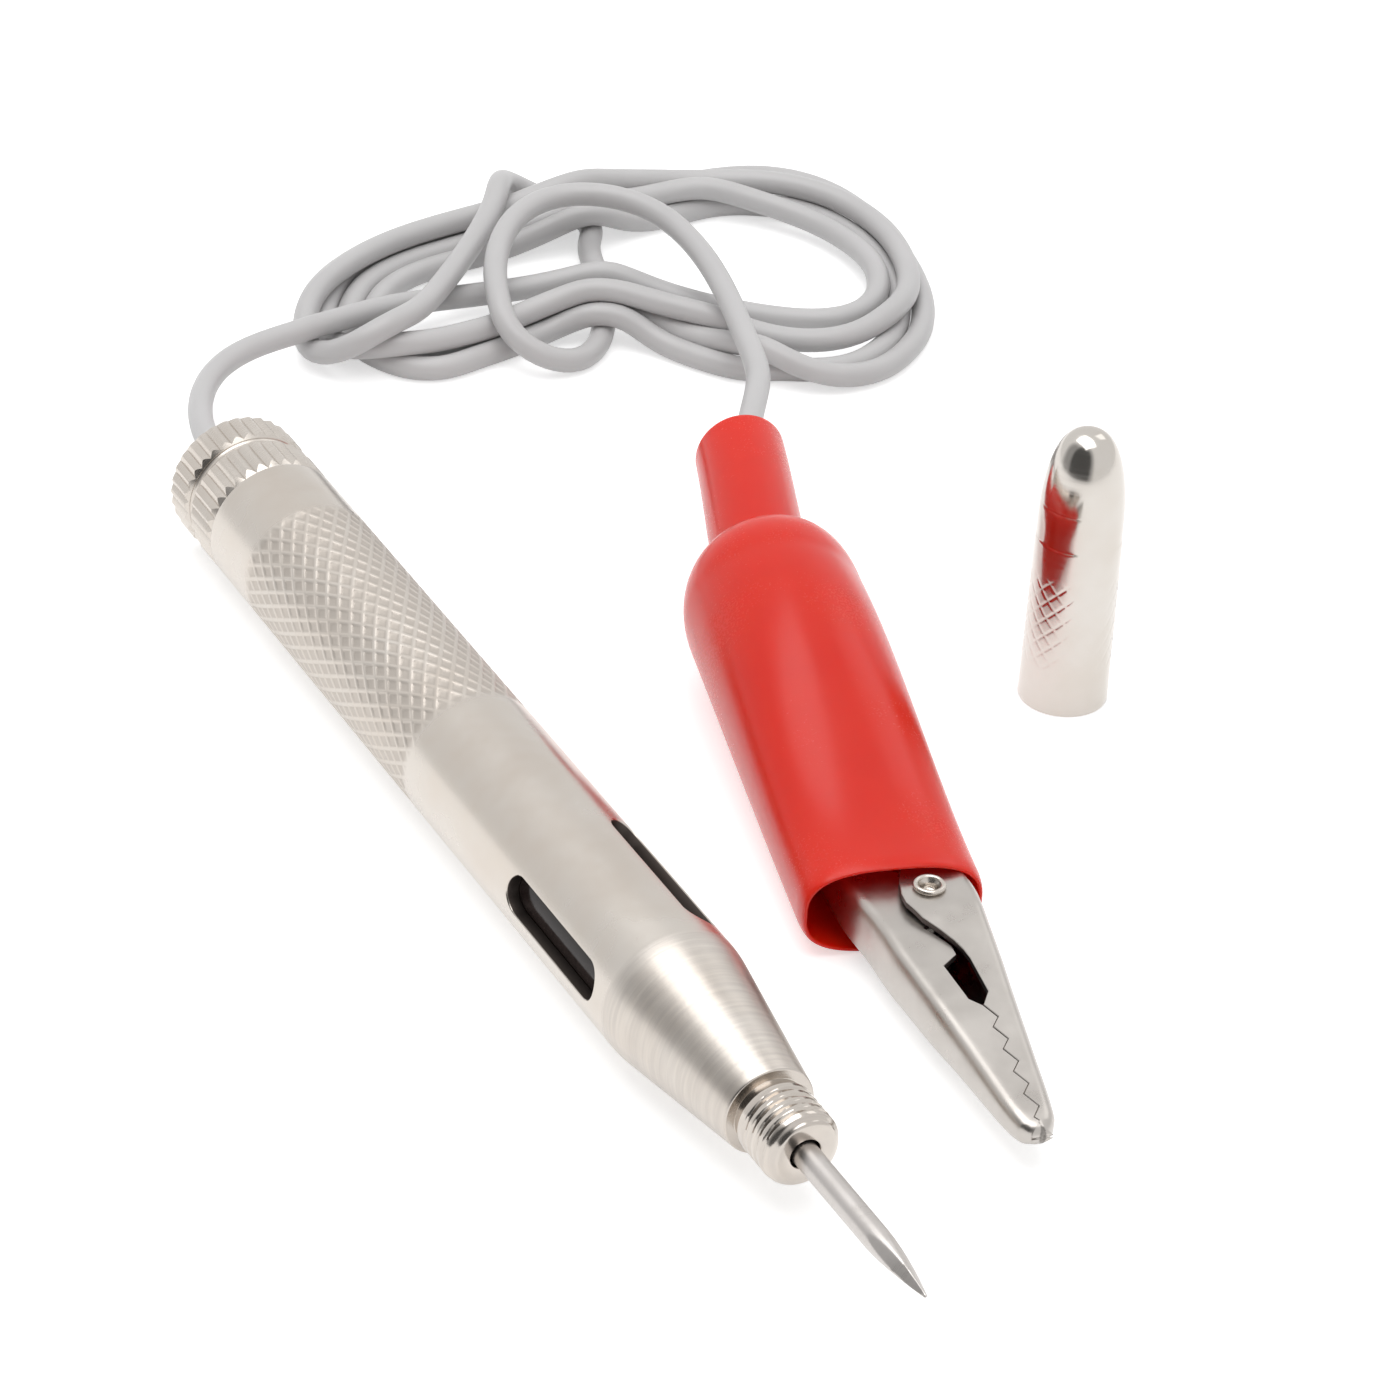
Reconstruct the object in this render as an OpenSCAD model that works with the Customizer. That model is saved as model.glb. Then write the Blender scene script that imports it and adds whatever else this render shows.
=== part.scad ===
// Automotive circuit tester: a metal pencil tester with a bulb behind three
// windows, a ground needle, its screw cap standing beside it, and a cord that
// ends in a spring clip inside a soft moulded boot.
// The tester lies on the table along Y with its needle towards -Y. The clip
// lies on its side to the right of it. The origin is the middle of the
// footprint, on the table.

/* [Barrel] */
// Outer diameter of the barrel
barrel_d = 13; // [12:0.5:16]
// Thickness of the barrel's wall round the bulb
barrel_wall = 1.2; // [1:0.1:1.5]
// Length of the plain collar in front of the tail cap
collar_len = 7.6; // [7.4:0.2:12]
// Length of the knurled grip
grip_len = 35.5; // [26:0.5:60]
// Depth by which the knurled grip is turned down
grip_relief = 0.1; // [0:0.05:0.3]
// Length of the plain stretch that holds the windows
plain_len = 38.1; // [36:0.1:50]
// Length of the front cone
cone_len = 17.15; // [14:0.05:24]
// Diameter of the cone's front end
cone_tip_d = 8.2; // [7.6:0.1:9]
// Radius that blends the plain stretch into the cone
cone_blend_r = 15; // [5:1:20]

/* [Windows] */
// Number of windows round the barrel
window_count = 3; // [1:1:4]
// Length of a window
window_len = 16.3; // [8:0.1:18]
// Width of a window
window_w = 3.6; // [2:0.1:5]
// Distance from a window's front end to the cone
window_front_gap = 2.1; // [2:0.1:8]
// Angle of the first window from the top, towards the right
window_turn = 39.5; // [0:0.5:120]

/* [Threaded nose] */
// Crest diameter of the nose thread
nose_d = 7; // [6.4:0.1:7.4]
// Length of the nose in front of the cone
nose_len = 5.55; // [4:0.05:7]
// Pitch of the nose thread
nose_pitch = 0.75; // [0.6:0.05:1.25]
// Depth of the nose thread
nose_thread_depth = 0.45; // [0.2:0.05:0.6]
// Rounding of the nose's front edge
nose_edge_r = 1; // [0.2:0.1:1.1]
// Diameter of the recess round the needle
nose_recess_d = 3.8; // [3.6:0.1:4.4]
// Depth of the recess round the needle
nose_recess_depth = 2; // [0.5:0.1:3]

/* [Needle] */
// Diameter of the needle
needle_d = 2.3; // [1.8:0.1:2.8]
// Length of the needle's straight shank in front of the nose
needle_shank_len = 12.5; // [8:0.5:20]
// Length of the needle's ground point
needle_point_len = 7.9; // [5:0.1:10]
// Diameter of the needle's blunt tip
needle_tip_d = 0.3; // [0.2:0.05:0.6]
// Diameter of the needle's thicker stem inside the nose
needle_stem_d = 2.9; // [2.9:0.1:3.2]
// Diameter of the needle's head inside the barrel
needle_head_d = 5; // [4:0.1:5.4]
// Length of the needle's head
needle_head_len = 3; // [2:0.1:5]

/* [Tail cap] */
// Length of the tail cap's rear ring
rear_ring_len = 4; // [3:0.1:7]
// Length of the tail cap's front ring
front_ring_len = 5; // [3:0.1:7]
// Width of the groove between the rings
ring_groove_w = 0.9; // [0.5:0.1:2]
// Diameter at the bottom of the groove
ring_groove_d = 11.8; // [11:0.1:12]
// Number of flutes round a ring
flute_count = 32; // [16:2:40]
// Depth of a flute
flute_depth = 0.4; // [0.2:0.05:0.7]
// Chamfer on the edges of the rings
ring_chamfer = 0.45; // [0.1:0.05:0.8]
// Chamfer on the tail cap's rear edge
rear_chamfer = 0.6; // [0.1:0.05:1]
// Diameter of the spigot that screws into the barrel
spigot_d = 10.9; // [9:0.1:11]
// Length of the spigot
spigot_len = 6.5; // [4:0.5:7]
// Diameter of the hollow in the tail cap
tail_hollow_d = 7.2; // [6:0.1:8]
// Thickness of the tail cap's rear wall
tail_wall = 5.5; // [3:0.5:7]

/* [Bulb and contacts] */
// Diameter of the bulb's glass
bulb_d = 6.7; // [5:0.1:7]
// Length of the bulb's glass in front of its base
bulb_len = 14.5; // [10:0.5:16]
// Diameter of the bulb's base
base_d = 7.1; // [6:0.1:7.2]
// Length of the bulb's base
base_len = 9; // [7:0.5:10]
// Length of the bush that holds the bulb's base
holder_len = 7; // [5:0.5:8]
// Thickness of the clear sleeve behind the windows
sleeve_wall = 0.6; // [0.4:0.1:1]
// Mean diameter of the contact spring
spring_d = 7.6; // [5:0.1:8]
// Wire diameter of the contact spring
spring_wire_d = 0.6; // [0.4:0.1:1]
// Number of turns of the contact spring
spring_turns = 10; // [6:1:14]

/* [Needle cap] */
// Diameter of the needle cap at its open end
cap_d = 8.3; // [8.2:0.1:9]
// Diameter of the needle cap below its dome
cap_neck_d = 7.85; // [7.6:0.05:8.2]
// Length of the needle cap
cap_len = 27.9; // [27.5:0.1:34]
// Length of the needle cap's dome
cap_dome_len = 9.2; // [6:0.1:9.6]
// Height of the small step on the needle cap
cap_step_z = 17; // [13:0.1:17.5]
// Depth of the needle cap's thread
cap_thread_len = 6.6; // [5.6:0.1:8]
// Distance of the needle cap to the right of the barrel's axis
cap_right = 59.5; // [50:0.5:80]
// Distance of the needle cap behind the needle's tip
cap_back = 80; // [40:0.1:100]

/* [Clip] */
// Distance of the clip's rivet to the right of the barrel's axis
clip_right = 26.35; // [24:0.05:34]
// Distance of the clip's rivet behind the needle's tip
clip_back = 47; // [40:0.1:90]
// Angle by which the boot points to the left of the barrel
clip_turn = 13.9; // [5:0.1:20]
// Angle by which the jaws point back to the right of the boot
jaw_turn = 4.3; // [0:0.1:5]
// Height of the clip's middle above the table
clip_mid_z = 4.5; // [4.5:0.05:5]
// Thickness of the clip's sheet
sheet = 0.6; // [0.4:0.05:0.7]
// Depth of the round back of a jaw
jaw_back = 1.3; // [1:0.1:1.6]
// Gap between the closed jaws
jaw_gap = 0.15; // [0.1:0.05:0.3]
// Number of teeth on a jaw
tooth_count = 5; // [3:1:6]
// Pitch of the teeth
tooth_pitch = 2.8; // [1.5:0.05:2.8]
// Depth of the teeth
tooth_depth = 0.8; // [0.4:0.1:1]
// Diameter of the ears round the rivet
ear_d = 5.5; // [4.5:0.1:6]
// Diameter of the rivet's shank
rivet_d = 2; // [1.6:0.1:2.4]
// Diameter of the hole through the rivet
rivet_hole_d = 1.4; // [0.8:0.1:1.6]
// Diameter of the rivet's rolled heads
rivet_head_d = 2.9; // [2.7:0.1:3.6]
// Clearance between the rivet and a jaw's hole
rivet_clearance = 0.05; // [0.02:0.01:0.08]
// Wire diameter of the clip's spring
clip_spring_wire_d = 0.7; // [0.5:0.1:0.8]
// Number of turns of the clip's spring
clip_spring_turns = 3; // [2:1:4]

/* [Boot] */
// Width of the boot's body
boot_w = 16.2; // [15.8:0.1:18]
// Height of the boot's mouth
boot_mouth_h = 9; // [9:0.1:10]
// Length of the boot's body
boot_body_len = 41.5; // [40:0.1:50]
// Length of the shoulder between body and neck
boot_shoulder_len = 6.8; // [5:0.1:12]
// Length of the boot's neck
boot_neck_len = 18; // [12:0.1:24]
// Diameter of the boot's neck
boot_neck_d = 9.1; // [7:0.1:10]
// Thickness of the boot's wall
boot_wall = 0.54; // [0.4:0.02:0.6]

/* [Cord] */
// Diameter of the cord
cord_d = 2.4; // [2:0.1:2.6]
// Clearance of the cord in the holes it passes through
cord_clearance = 0.1; // [0.05:0.05:0.3]
// Height of the cord's hank
hank_h = 4.8; // [4:0.1:6]

/* [Hidden] */
$fn = 64;
eps = 0.01;
running = 0.05;

// Lengths along the tester, counted from the tail's end face
barrel_r = barrel_d / 2;
head_len = rear_ring_len + ring_groove_w + front_ring_len;
grip_start = head_len + collar_len;
grip_end = grip_start + grip_len;
cone_start = grip_end + plain_len;
cone_end = cone_start + cone_len;
nose_end = cone_end + nose_len;
needle_end = nose_end + needle_shank_len + needle_point_len;
bore_d = barrel_d - 2 * barrel_wall;
bore_end = cone_start - 1.2;
needle_pocket_len = 5.5;
needle_seat = bore_end + needle_pocket_len;
thread_bore_d = spigot_d + 2 * running;

// Places of the inner pieces along the tester
spigot_end = head_len + spigot_len;
washer_len = 0.8;
disc_start = spigot_end + running + washer_len + running;
disc_len = 1;
sleeve_d = bore_d - 0.1;
window_centre = cone_start - window_front_gap - window_len / 2;
window_sleeve_start = window_centre - window_len / 2 - 1.6;
holder_start = window_sleeve_start - holder_len;
base_start = holder_start + 0.5;
contact_tip = base_start - 1.5;
plunger_len = 3;
plunger_start = contact_tip - plunger_len;

// Places in the part's own frame
tester_x = -(cap_right + cap_d / 2 - barrel_r) / 2;
tail_y = needle_end / 2;
clip_x = tester_x + clip_right;
clip_y = clip_back - needle_end / 2;

// Points of a rounded slot, along Y
function slot_points(len, w, n = 12) = [
    for (i = [0:n]) [cos(180 * i / n), sin(180 * i / n)] * w / 2 + [0, (len - w) / 2],
    for (i = [0:n]) [-cos(180 * i / n), -sin(180 * i / n)] * w / 2 - [0, (len - w) / 2]];

// Points of an arc
function arc_points(centre, r, from, to, n = 8) = [
    for (i = [0:n]) centre + r * [cos(from + (to - from) * i / n), sin(from + (to - from) * i / n)]];

// Faces that join rings of equal size into one closed solid
function ring_faces(rings, sides) = concat(
    [[for (j = [0:sides - 1]) sides - 1 - j]],
    [for (i = [0:rings - 2]) for (j = [0:sides - 1])
        [i * sides + j, i * sides + (j + 1) % sides, (i + 1) * sides + (j + 1) % sides, (i + 1) * sides + j]],
    [[for (j = [0:sides - 1]) (rings - 1) * sides + j]]);

// Solid through a list of rings
module loft(rings) {
    polyhedron([for (r = rings) each r], ring_faces(len(rings), len(rings[0])), convexity = 6);
}

function unit(v) = v / norm(v);

// Ring of a round tube at point i of a path
function tube_ring(path, i, r, sides) =
    let (t = unit(path[min(i + 1, len(path) - 1)] - path[max(i - 1, 0)]),
         side = unit(cross(t, [0, 0, 1])),
         up = cross(side, t))
    [for (k = [0:sides - 1]) path[i] + r * (cos(360 * (k + 0.5) / sides) * side + sin(360 * (k + 0.5) / sides) * up)];

// Round tube along a path that never stands upright
module tube(path, r, sides = 8) {
    loft([for (i = [0:len(path) - 1]) tube_ring(path, i, r, sides)]);
}

// Ring of a coil of wire about Z, at angle a and height z
function coil_ring(r, wire_r, a, z, sides) = [
    for (k = [0:sides - 1])
        let (b = 360 * k / sides)
        [(r + wire_r * cos(b)) * cos(a), (r + wire_r * cos(b)) * sin(a), z + wire_r * sin(b)]];

// Frame of the tester: Z runs from the tail's end face to the needle, Y is up
module on_tester(s = 0) {
    translate([tester_x, tail_y - s, barrel_r]) rotate([90, 0, 0]) children();
}

// Round piece with a bore, along the tester
module bush(start, len, d, bore) {
    on_tester(start) difference() {
        cylinder(d = d, h = len);
        translate([0, 0, -1]) cylinder(d = bore, h = len + 2);
    }
}

// Outline of the cone and the threaded nose: radius against length
blend_share = 0.055;
function cone_angle() = atan((barrel_r - cone_tip_d / 2) / (cone_len - cone_blend_r * blend_share));
function nose_outline() = let (r = nose_d / 2, root = r - nose_thread_depth,
    first = cone_end + 0.3, turns = floor((nose_end - nose_edge_r - 0.1 - first) / nose_pitch))
    concat(
        [[cone_tip_d / 2, cone_end], [root, cone_end]],
        [for (i = [0:turns - 1]) for (p = [[root, 0.08], [r, 0.38], [r, 0.62], [root, 0.92]])
            [p[0], first + (i + p[1]) * nose_pitch]],
        [[root, nose_end - nose_edge_r - 0.1]],
        arc_points([r - 0.1 - nose_edge_r, nose_end - nose_edge_r], nose_edge_r, 0, 90, 5));
function barrel_outline() = let (a = cone_angle())
    concat(
        [[barrel_r, head_len], [barrel_r, grip_start], [barrel_r - grip_relief, grip_start + grip_relief],
         [barrel_r - grip_relief, grip_end - grip_relief], [barrel_r, grip_end]],
        arc_points([barrel_r - cone_blend_r, cone_start - 0.3], cone_blend_r, 0, a, 5),
        nose_outline());

// The turned body with its windows
module barrel() {
    color("silver") on_tester() difference() {
        rotate_extrude() polygon(concat([[0, head_len]], barrel_outline(), [[0, nose_end]]));
        translate([0, 0, head_len - 1]) cylinder(d = thread_bore_d, h = disc_start - head_len + 1);
        translate([0, 0, head_len + spigot_len]) cylinder(d = bore_d, h = bore_end - head_len - spigot_len);
        translate([0, 0, bore_end - 1]) cylinder(d = needle_head_d + 0.2, h = needle_pocket_len + 1);
        translate([0, 0, needle_seat - 1]) cylinder(d = needle_stem_d + 2 * running, h = nose_end);
        translate([0, 0, nose_end - nose_recess_depth]) cylinder(d = nose_recess_d, h = nose_recess_depth + 1);
        for (i = [0:window_count - 1])
            translate([0, 0, window_centre]) rotate([0, 0, -window_turn - 360 * i / window_count])
                rotate([-90, 0, 0]) linear_extrude(barrel_d) polygon(slot_points(window_len, window_w));
    }
}

// Cross-section of a fluted ring: round crests that meet in narrow valleys
function flute_points() = [for (i = [0:flute_count - 1]) for (k = [0:3])
    let (a = 360 * (i + k / 4) / flute_count, r = barrel_r - flute_depth * [1, 0.25, 0, 0.25][k])
    [r * cos(a), r * sin(a)]];

module fluted_ring(start, len, chamfer) {
    translate([0, 0, start]) intersection() {
        linear_extrude(len) polygon(flute_points());
        rotate_extrude() polygon([[0, 0], [barrel_r - chamfer, 0], [barrel_r + eps, chamfer + eps],
            [barrel_r + eps, len - ring_chamfer - eps], [barrel_r - ring_chamfer, len], [0, len]]);
    }
}

// The screw cap at the tail, with two fluted rings and a hole for the cord
module tail_cap() {
    color("silver") on_tester() difference() {
        union() {
            fluted_ring(0, rear_ring_len, rear_chamfer);
            translate([0, 0, rear_ring_len - 1]) cylinder(d = ring_groove_d, h = ring_groove_w + 2);
            fluted_ring(rear_ring_len + ring_groove_w, front_ring_len, ring_chamfer);
            translate([0, 0, head_len - 1]) cylinder(d = spigot_d, h = spigot_len + 1);
        }
        translate([0, 0, -1]) cylinder(d = cord_d + 2 * cord_clearance, h = tail_wall + 2);
        translate([0, 0, tail_wall]) cylinder(d = tail_hollow_d, h = spigot_end);
    }
}

// Crimped end of the cord that can't pull out through the tail cap
ferrule_d = tail_hollow_d - 1.2;
ferrule_start = tail_wall + 0.2;
ferrule_len = 4;
module cord_ferrule() {
    color("goldenrod") on_tester(ferrule_start) difference() {
        cylinder(d = ferrule_d, h = ferrule_len);
        translate([0, 0, ferrule_len / 2]) rotate_extrude() translate([ferrule_d / 2, 0]) circle(d = 0.8);
    }
}

// Bare wire between the cord's crimped end and the contact disc
module tail_conductor() {
    color("peru") on_tester(ferrule_start + ferrule_len)
        cylinder(d = 1, h = disc_start - ferrule_start - ferrule_len);
}

module insulating_washer() {
    color("saddlebrown") bush(spigot_end + running, washer_len, thread_bore_d - 0.3, 1.6);
}

// Disc that the cord's wire is soldered to
module contact_disc() {
    color("goldenrod") on_tester(disc_start) {
        cylinder(d = spring_d + 1.2, h = disc_len);
        cylinder(d = spring_d - spring_wire_d - 0.6, h = disc_len + 1.2);
    }
}

// Tube that keeps the spring off the barrel
module spring_sleeve() {
    color("cornsilk") bush(disc_start, holder_start - disc_start - 0.1, sleeve_d, sleeve_d - 1);
}

// Spring that presses the plunger against the bulb
module contact_spring() {
    spring_start = disc_start + disc_len + spring_wire_d / 2;
    spring_end = plunger_start - spring_wire_d / 2;
    steps = 12;
    color("silver") on_tester() loft([for (i = [0:spring_turns * steps])
        coil_ring(spring_d / 2, spring_wire_d / 2, 360 * i / steps,
            spring_start + (spring_end - spring_start) * i / (spring_turns * steps), 6)]);
}

// Disc and stem between the spring and the bulb's end contact
module contact_plunger() {
    color("goldenrod") on_tester(plunger_start) {
        cylinder(d = spring_d + 1.2, h = 1);
        cylinder(d = 3.2, h = plunger_len);
    }
}

module bulb_holder() {
    color("goldenrod") bush(holder_start, holder_len, bore_d - 2 * running, base_d + 0.1);
}

// Metal shell of the bulb's base
module bulb_base() {
    color("goldenrod") on_tester(base_start) difference() {
        cylinder(d = base_d, h = base_len);
        translate([0, 0, 0.5]) cylinder(d = base_d - 0.6, h = base_len);
        translate([0, 0, -1]) cylinder(d = base_d - 2.4, h = 3);
    }
}

// Black glass at the end of the base, with the end contact in it
module base_insulator() {
    color("dimgray") on_tester(contact_tip) {
        cylinder(d = 3, h = 1.2);
        translate([0, 0, 0.6]) cylinder(d1 = base_d - 3.4, d2 = base_d - 2.5, h = 0.95);
        translate([0, 0, 1.5]) cylinder(d = base_d - 2.5, h = 0.5);
    }
}

// Hollow glass, closed in front by a dome
glass_start = base_start + 2.1;
glass_end = base_start + base_len + bulb_len;
glass_wall = 0.45;
module glass_shape(inset) {
    r = bulb_d / 2 - inset;
    dome = glass_end - bulb_d / 2;
    rotate_extrude() polygon(concat(
        [[0, glass_start + inset], [base_d / 2 - 0.5 - inset, glass_start + inset],
         [base_d / 2 - 0.5 - inset, base_start + base_len - 0.6], [r, base_start + base_len + 0.6]],
        arc_points([0, dome], r, 0, 90, 8)));
}
module bulb_glass() {
    color("azure", 0.4) on_tester() difference() {
        glass_shape(0);
        glass_shape(glass_wall);
    }
}

// Glass bead, two supports and the coiled filament between them
module bulb_filament() {
    bead = base_start + base_len - 1;
    top = base_start + base_len + 7;
    spread = 1.6;
    color("dimgray") on_tester() {
        translate([0, 0, glass_start + glass_wall]) cylinder(d = 3.2, h = bead - glass_start - glass_wall);
        translate([0, 0, bead - 0.5]) cylinder(d1 = 3.2, d2 = 1.8, h = 2);
        for (side = [-1, 1]) translate([side * 0.5, 0, bead])
            rotate([0, side * atan((spread - 0.5) / (top - bead)), 0])
                cylinder(d = 0.35, h = (top - bead) / cos(atan((spread - 0.5) / (top - bead))));
        translate([-spread - 0.2, 0, top]) rotate([0, 90, 0]) cylinder(d = 0.5, h = 2 * spread + 0.4);
    }
}

// Clear tube behind the windows
module window_sleeve() {
    color("azure", 0.3) bush(window_sleeve_start + 0.05, bore_end - window_sleeve_start - 0.1,
        sleeve_d, sleeve_d - 2 * sleeve_wall);
}

// Steel needle with its head inside the barrel and a ground point
module probe_needle() {
    r = needle_d / 2;
    point = nose_end + needle_shank_len;
    color("lightgray") on_tester() rotate_extrude() polygon([
        [0, needle_seat - needle_head_len], [needle_head_d / 2, needle_seat - needle_head_len],
        [needle_head_d / 2, needle_seat], [needle_stem_d / 2, needle_seat],
        [needle_stem_d / 2, nose_end], [r, nose_end], [r, point],
        [r * 0.84, point + needle_point_len * 0.28], [r * 0.5, point + needle_point_len * 0.68],
        [needle_tip_d / 2, needle_end - needle_tip_d / 2], [needle_tip_d / 4, needle_end], [0, needle_end]]);
}

// The needle's screw cap, taken off and standing on its open end
cap_needle_bore_d = needle_d + 0.9;
cap_bore_depth = needle_shank_len + needle_point_len + nose_len + 0.6;
module needle_cap() {
    dome_z = cap_len - cap_dome_len;
    outline = concat(
        [[0, 0], [cap_d / 2 - 0.15, 0], [cap_d / 2, 0.15], [cap_neck_d / 2 + 0.06, cap_step_z],
         [cap_neck_d / 2 - 0.06, cap_step_z + 0.2], [cap_neck_d / 2, cap_step_z + 1]],
        [for (a = [0:9:90]) [cap_neck_d / 2 * pow(max(cos(a), 0), 0.72), dome_z + cap_dome_len * sin(a)]]);
    color("silver") translate([tester_x + cap_right, cap_back - needle_end / 2, 0]) difference() {
        rotate_extrude() polygon(outline);
        translate([0, 0, -1]) cylinder(d = nose_d + 2 * running, h = cap_thread_len + 1);
        cylinder(d = cap_needle_bore_d, h = cap_bore_depth);
        translate([0, 0, -eps]) cylinder(d1 = nose_d + 0.4, d2 = nose_d, h = 0.3);
    }
}

// Clip frame: origin at the rivet on the table, -Y towards the boot's mouth
module on_clip() {
    translate([clip_x, clip_y, 0]) rotate([0, 0, -clip_turn]) children();
}
// Jaw frame: the same, turned with the jaws and at the clip's middle height
module on_jaws() {
    on_clip() translate([0, 0, clip_mid_z]) rotate([0, 0, jaw_turn]) children();
}

// Forms of the jaws against the distance in front of the rivet
jaw_tip = 30.7;
handle_end = -30;
fixed_edge = [[-30, 6.2], [-15, 5.6], [-3, 4.5], [1, 4.45], [4, 4.1], [9.5, 3.5], [14, 2.9], [19, 2.25], [26.7, 1.25],
              [29, 0.85], [29.8, 0.45], [30.4, -0.1], [30.7, -0.45]];
fixed_half = [[-30, 2.3], [-6, 3.1], [-2, 3.2], [-0.5, 3.55], [3, 3.6], [9.5, 2.85], [14, 2.45], [28.7, 1.35],
              [29.8, 1.15], [30.4, 0.85], [30.7, 0.55]];
moving_edge = [[-30, 6.3], [-15, 6.6], [-3, 6.6], [1.5, 6], [7, 5.7], [14, 4.9], [19, 4.2], [26.7, 3.3],
               [28.7, 2.95], [29.8, 2.6], [30.4, 2], [30.7, 1.6]];
moving_half = [[-30, 1.8], [-6, 2.4], [-3, 2.5], [4.5, 2.7], [9.5, 2.5], [14, 2.35], [28.7, 1.35], [29.8, 1.15],
               [30.4, 0.85], [30.7, 0.55]];
jaw_mid = [[9.5, 0], [28.7, -0.3], [30.7, -0.3]];
jaw_stations = [30.7, 30.4, 29.8, 28.7, 26.7, 22.5, 19, 14, 9.5, 7, 4.5, 3, 1.5, -0.5, -2, -3, -6, -15, -24, -30];

// Section of a jaw at y = -t: flat at x = from, with a round back at x = to
function jaw_section(t, from, to, half, back) = let (mid = lookup(t, jaw_mid)) [
    [from, -t, mid - half],
    for (i = [-4:4]) [to - back + back * cos(22.5 * i), -t, mid + half * sin(22.5 * i)],
    [from, -t, mid + half]];

// Solid bar of a jaw out to its round back, or the hollow in it where there is an inset
jaw_inner = -4;
module jaw_bar(edge, half, inset) {
    out = inset > 0 ? 1 : 0;
    loft([for (t = jaw_stations) if (out == 0 || t < jaw_tip - 1)
        jaw_section(t == handle_end ? t - out : t, jaw_inner - out, lookup(t, edge) - inset,
            lookup(t, half) - inset, jaw_back - inset)]);
}

// Middle of the toothed line, measured to the right of the rivet; a tooth rises over more than half its pitch
tooth_start = 15.4;
tooth_rise = 0.6;
tooth_end = tooth_start + tooth_count * tooth_pitch;
function parting(t) = -0.2 - 0.043 * (t - tooth_start);
function tooth_line(shift) = concat(
    [for (i = [0:2 * tooth_count]) let (t = tooth_start + (floor(i / 2) + i % 2 * tooth_rise) * tooth_pitch)
        [parting(t) + (i % 2 == 0 ? -1 : 1) * tooth_depth / 2 + shift, -t]],
    [[parting(jaw_tip) + shift, -jaw_tip - 1]]);

// The gap for a cable behind the teeth, and the curved edge from there to the ear
fixed_gap_edge = [[0.4, -13.8], [0.3, -9.7], [0.1, -8.5]];
moving_gap_edge = [[-1.5, -14.4], [-2.05, -9.7], [-0.5, -8.5]];
ear_edge = [[-0.3, -7.3], [-1, -5.8], [-2, -4], [-2.65, -1.6]];

module fixed_outline() {
    flange = 3.2;
    polygon(concat(
        [[12, -jaw_tip - 1]], [[parting(jaw_tip) + jaw_gap / 2, -jaw_tip - 1]],
        [for (p = [len(tooth_line(0)) - 2:-1:0]) tooth_line(jaw_gap / 2)[p]],
        fixed_gap_edge, ear_edge,
        [[-2.6, -0.2], [-2.2, 1.5], [-1.6, 3], [-0.8, 5], [lookup(-8, fixed_edge) - flange, 8], [lookup(-30, fixed_edge) - flange, -handle_end + 1],
         [12, -handle_end + 1]]));
}

module moving_outline() {
    flange = 2;
    polygon(concat(
        [[-12, -jaw_tip - 1], [-12, -handle_end + 1],
         [-lookup(-30, moving_edge) + flange, -handle_end + 1], [-lookup(-8, moving_edge) + flange, 8]],
        arc_points([0, 0], ear_d / 2, 120, -120, 16),
        [[-2, -4.4], ear_edge[1] - [0.2, 0], ear_edge[0] - [0.2, 0],
         moving_gap_edge[2], moving_gap_edge[1], moving_gap_edge[0]],
        tooth_line(-jaw_gap / 2)));
}

// Height of the tools that trim the jaws, well past their width
cut_h = 10;

// Sheet shell of a jaw: its bar, hollowed from the open side
module jaw_shell(edge, half) {
    difference() {
        jaw_bar(edge, half, 0);
        jaw_bar(edge, half, sheet);
    }
}

module rivet_hole() {
    translate([0, 0, -cut_h / 2]) cylinder(d = rivet_d + 2 * rivet_clearance, h = cut_h);
}

// The jaw with its ears outside, and the crimp that holds the cord
crimp_len = 7;
crimp_bore_d = cord_d + 0.1;
crimp_x = lookup(-30, fixed_edge) - crimp_bore_d / 2 - sheet;
module jaw_fixed() {
    color("darkgray") on_jaws() {
        difference() {
            intersection() {
                jaw_shell(fixed_edge, fixed_half);
                translate([0, 0, -cut_h / 2]) linear_extrude(cut_h) fixed_outline();
            }
            rivet_hole();
        }
        translate([crimp_x, -handle_end - 1, 0]) rotate([-90, 0, 0]) difference() {
            cylinder(d = crimp_bore_d + 2 * sheet, h = crimp_len);
            translate([0, 0, -1]) cylinder(d = crimp_bore_d, h = crimp_len + 2);
            translate([-3, -0.4, -1]) cube([3, 0.8, crimp_len + 2]);
        }
    }
}

// The jaw that swings, its ears nested inside the other's
module jaw_moving() {
    color("darkgray") on_jaws() difference() {
        intersection() {
            mirror([1, 0, 0]) jaw_shell(moving_edge, moving_half);
            translate([0, 0, -cut_h / 2]) linear_extrude(cut_h) moving_outline();
        }
        rivet_hole();
    }
}

// Tubular rivet with rolled heads
module clip_rivet() {
    half = lookup(0, fixed_half);
    head = 0.5;
    color("silver") on_jaws() difference() {
        union() {
            translate([0, 0, -half - head]) cylinder(d = rivet_d, h = 2 * (half + head));
            for (side = [0, 1]) mirror([0, 0, side]) translate([0, 0, half + running / 2]) rotate_extrude()
                polygon([[0, 0], [rivet_head_d / 2, 0], [rivet_head_d / 2, head * 0.4],
                    [rivet_head_d / 2 - 0.3, head], [0, head]]);
        }
        translate([0, 0, -6]) cylinder(d = rivet_hole_d, h = 12);
    }
}

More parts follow.
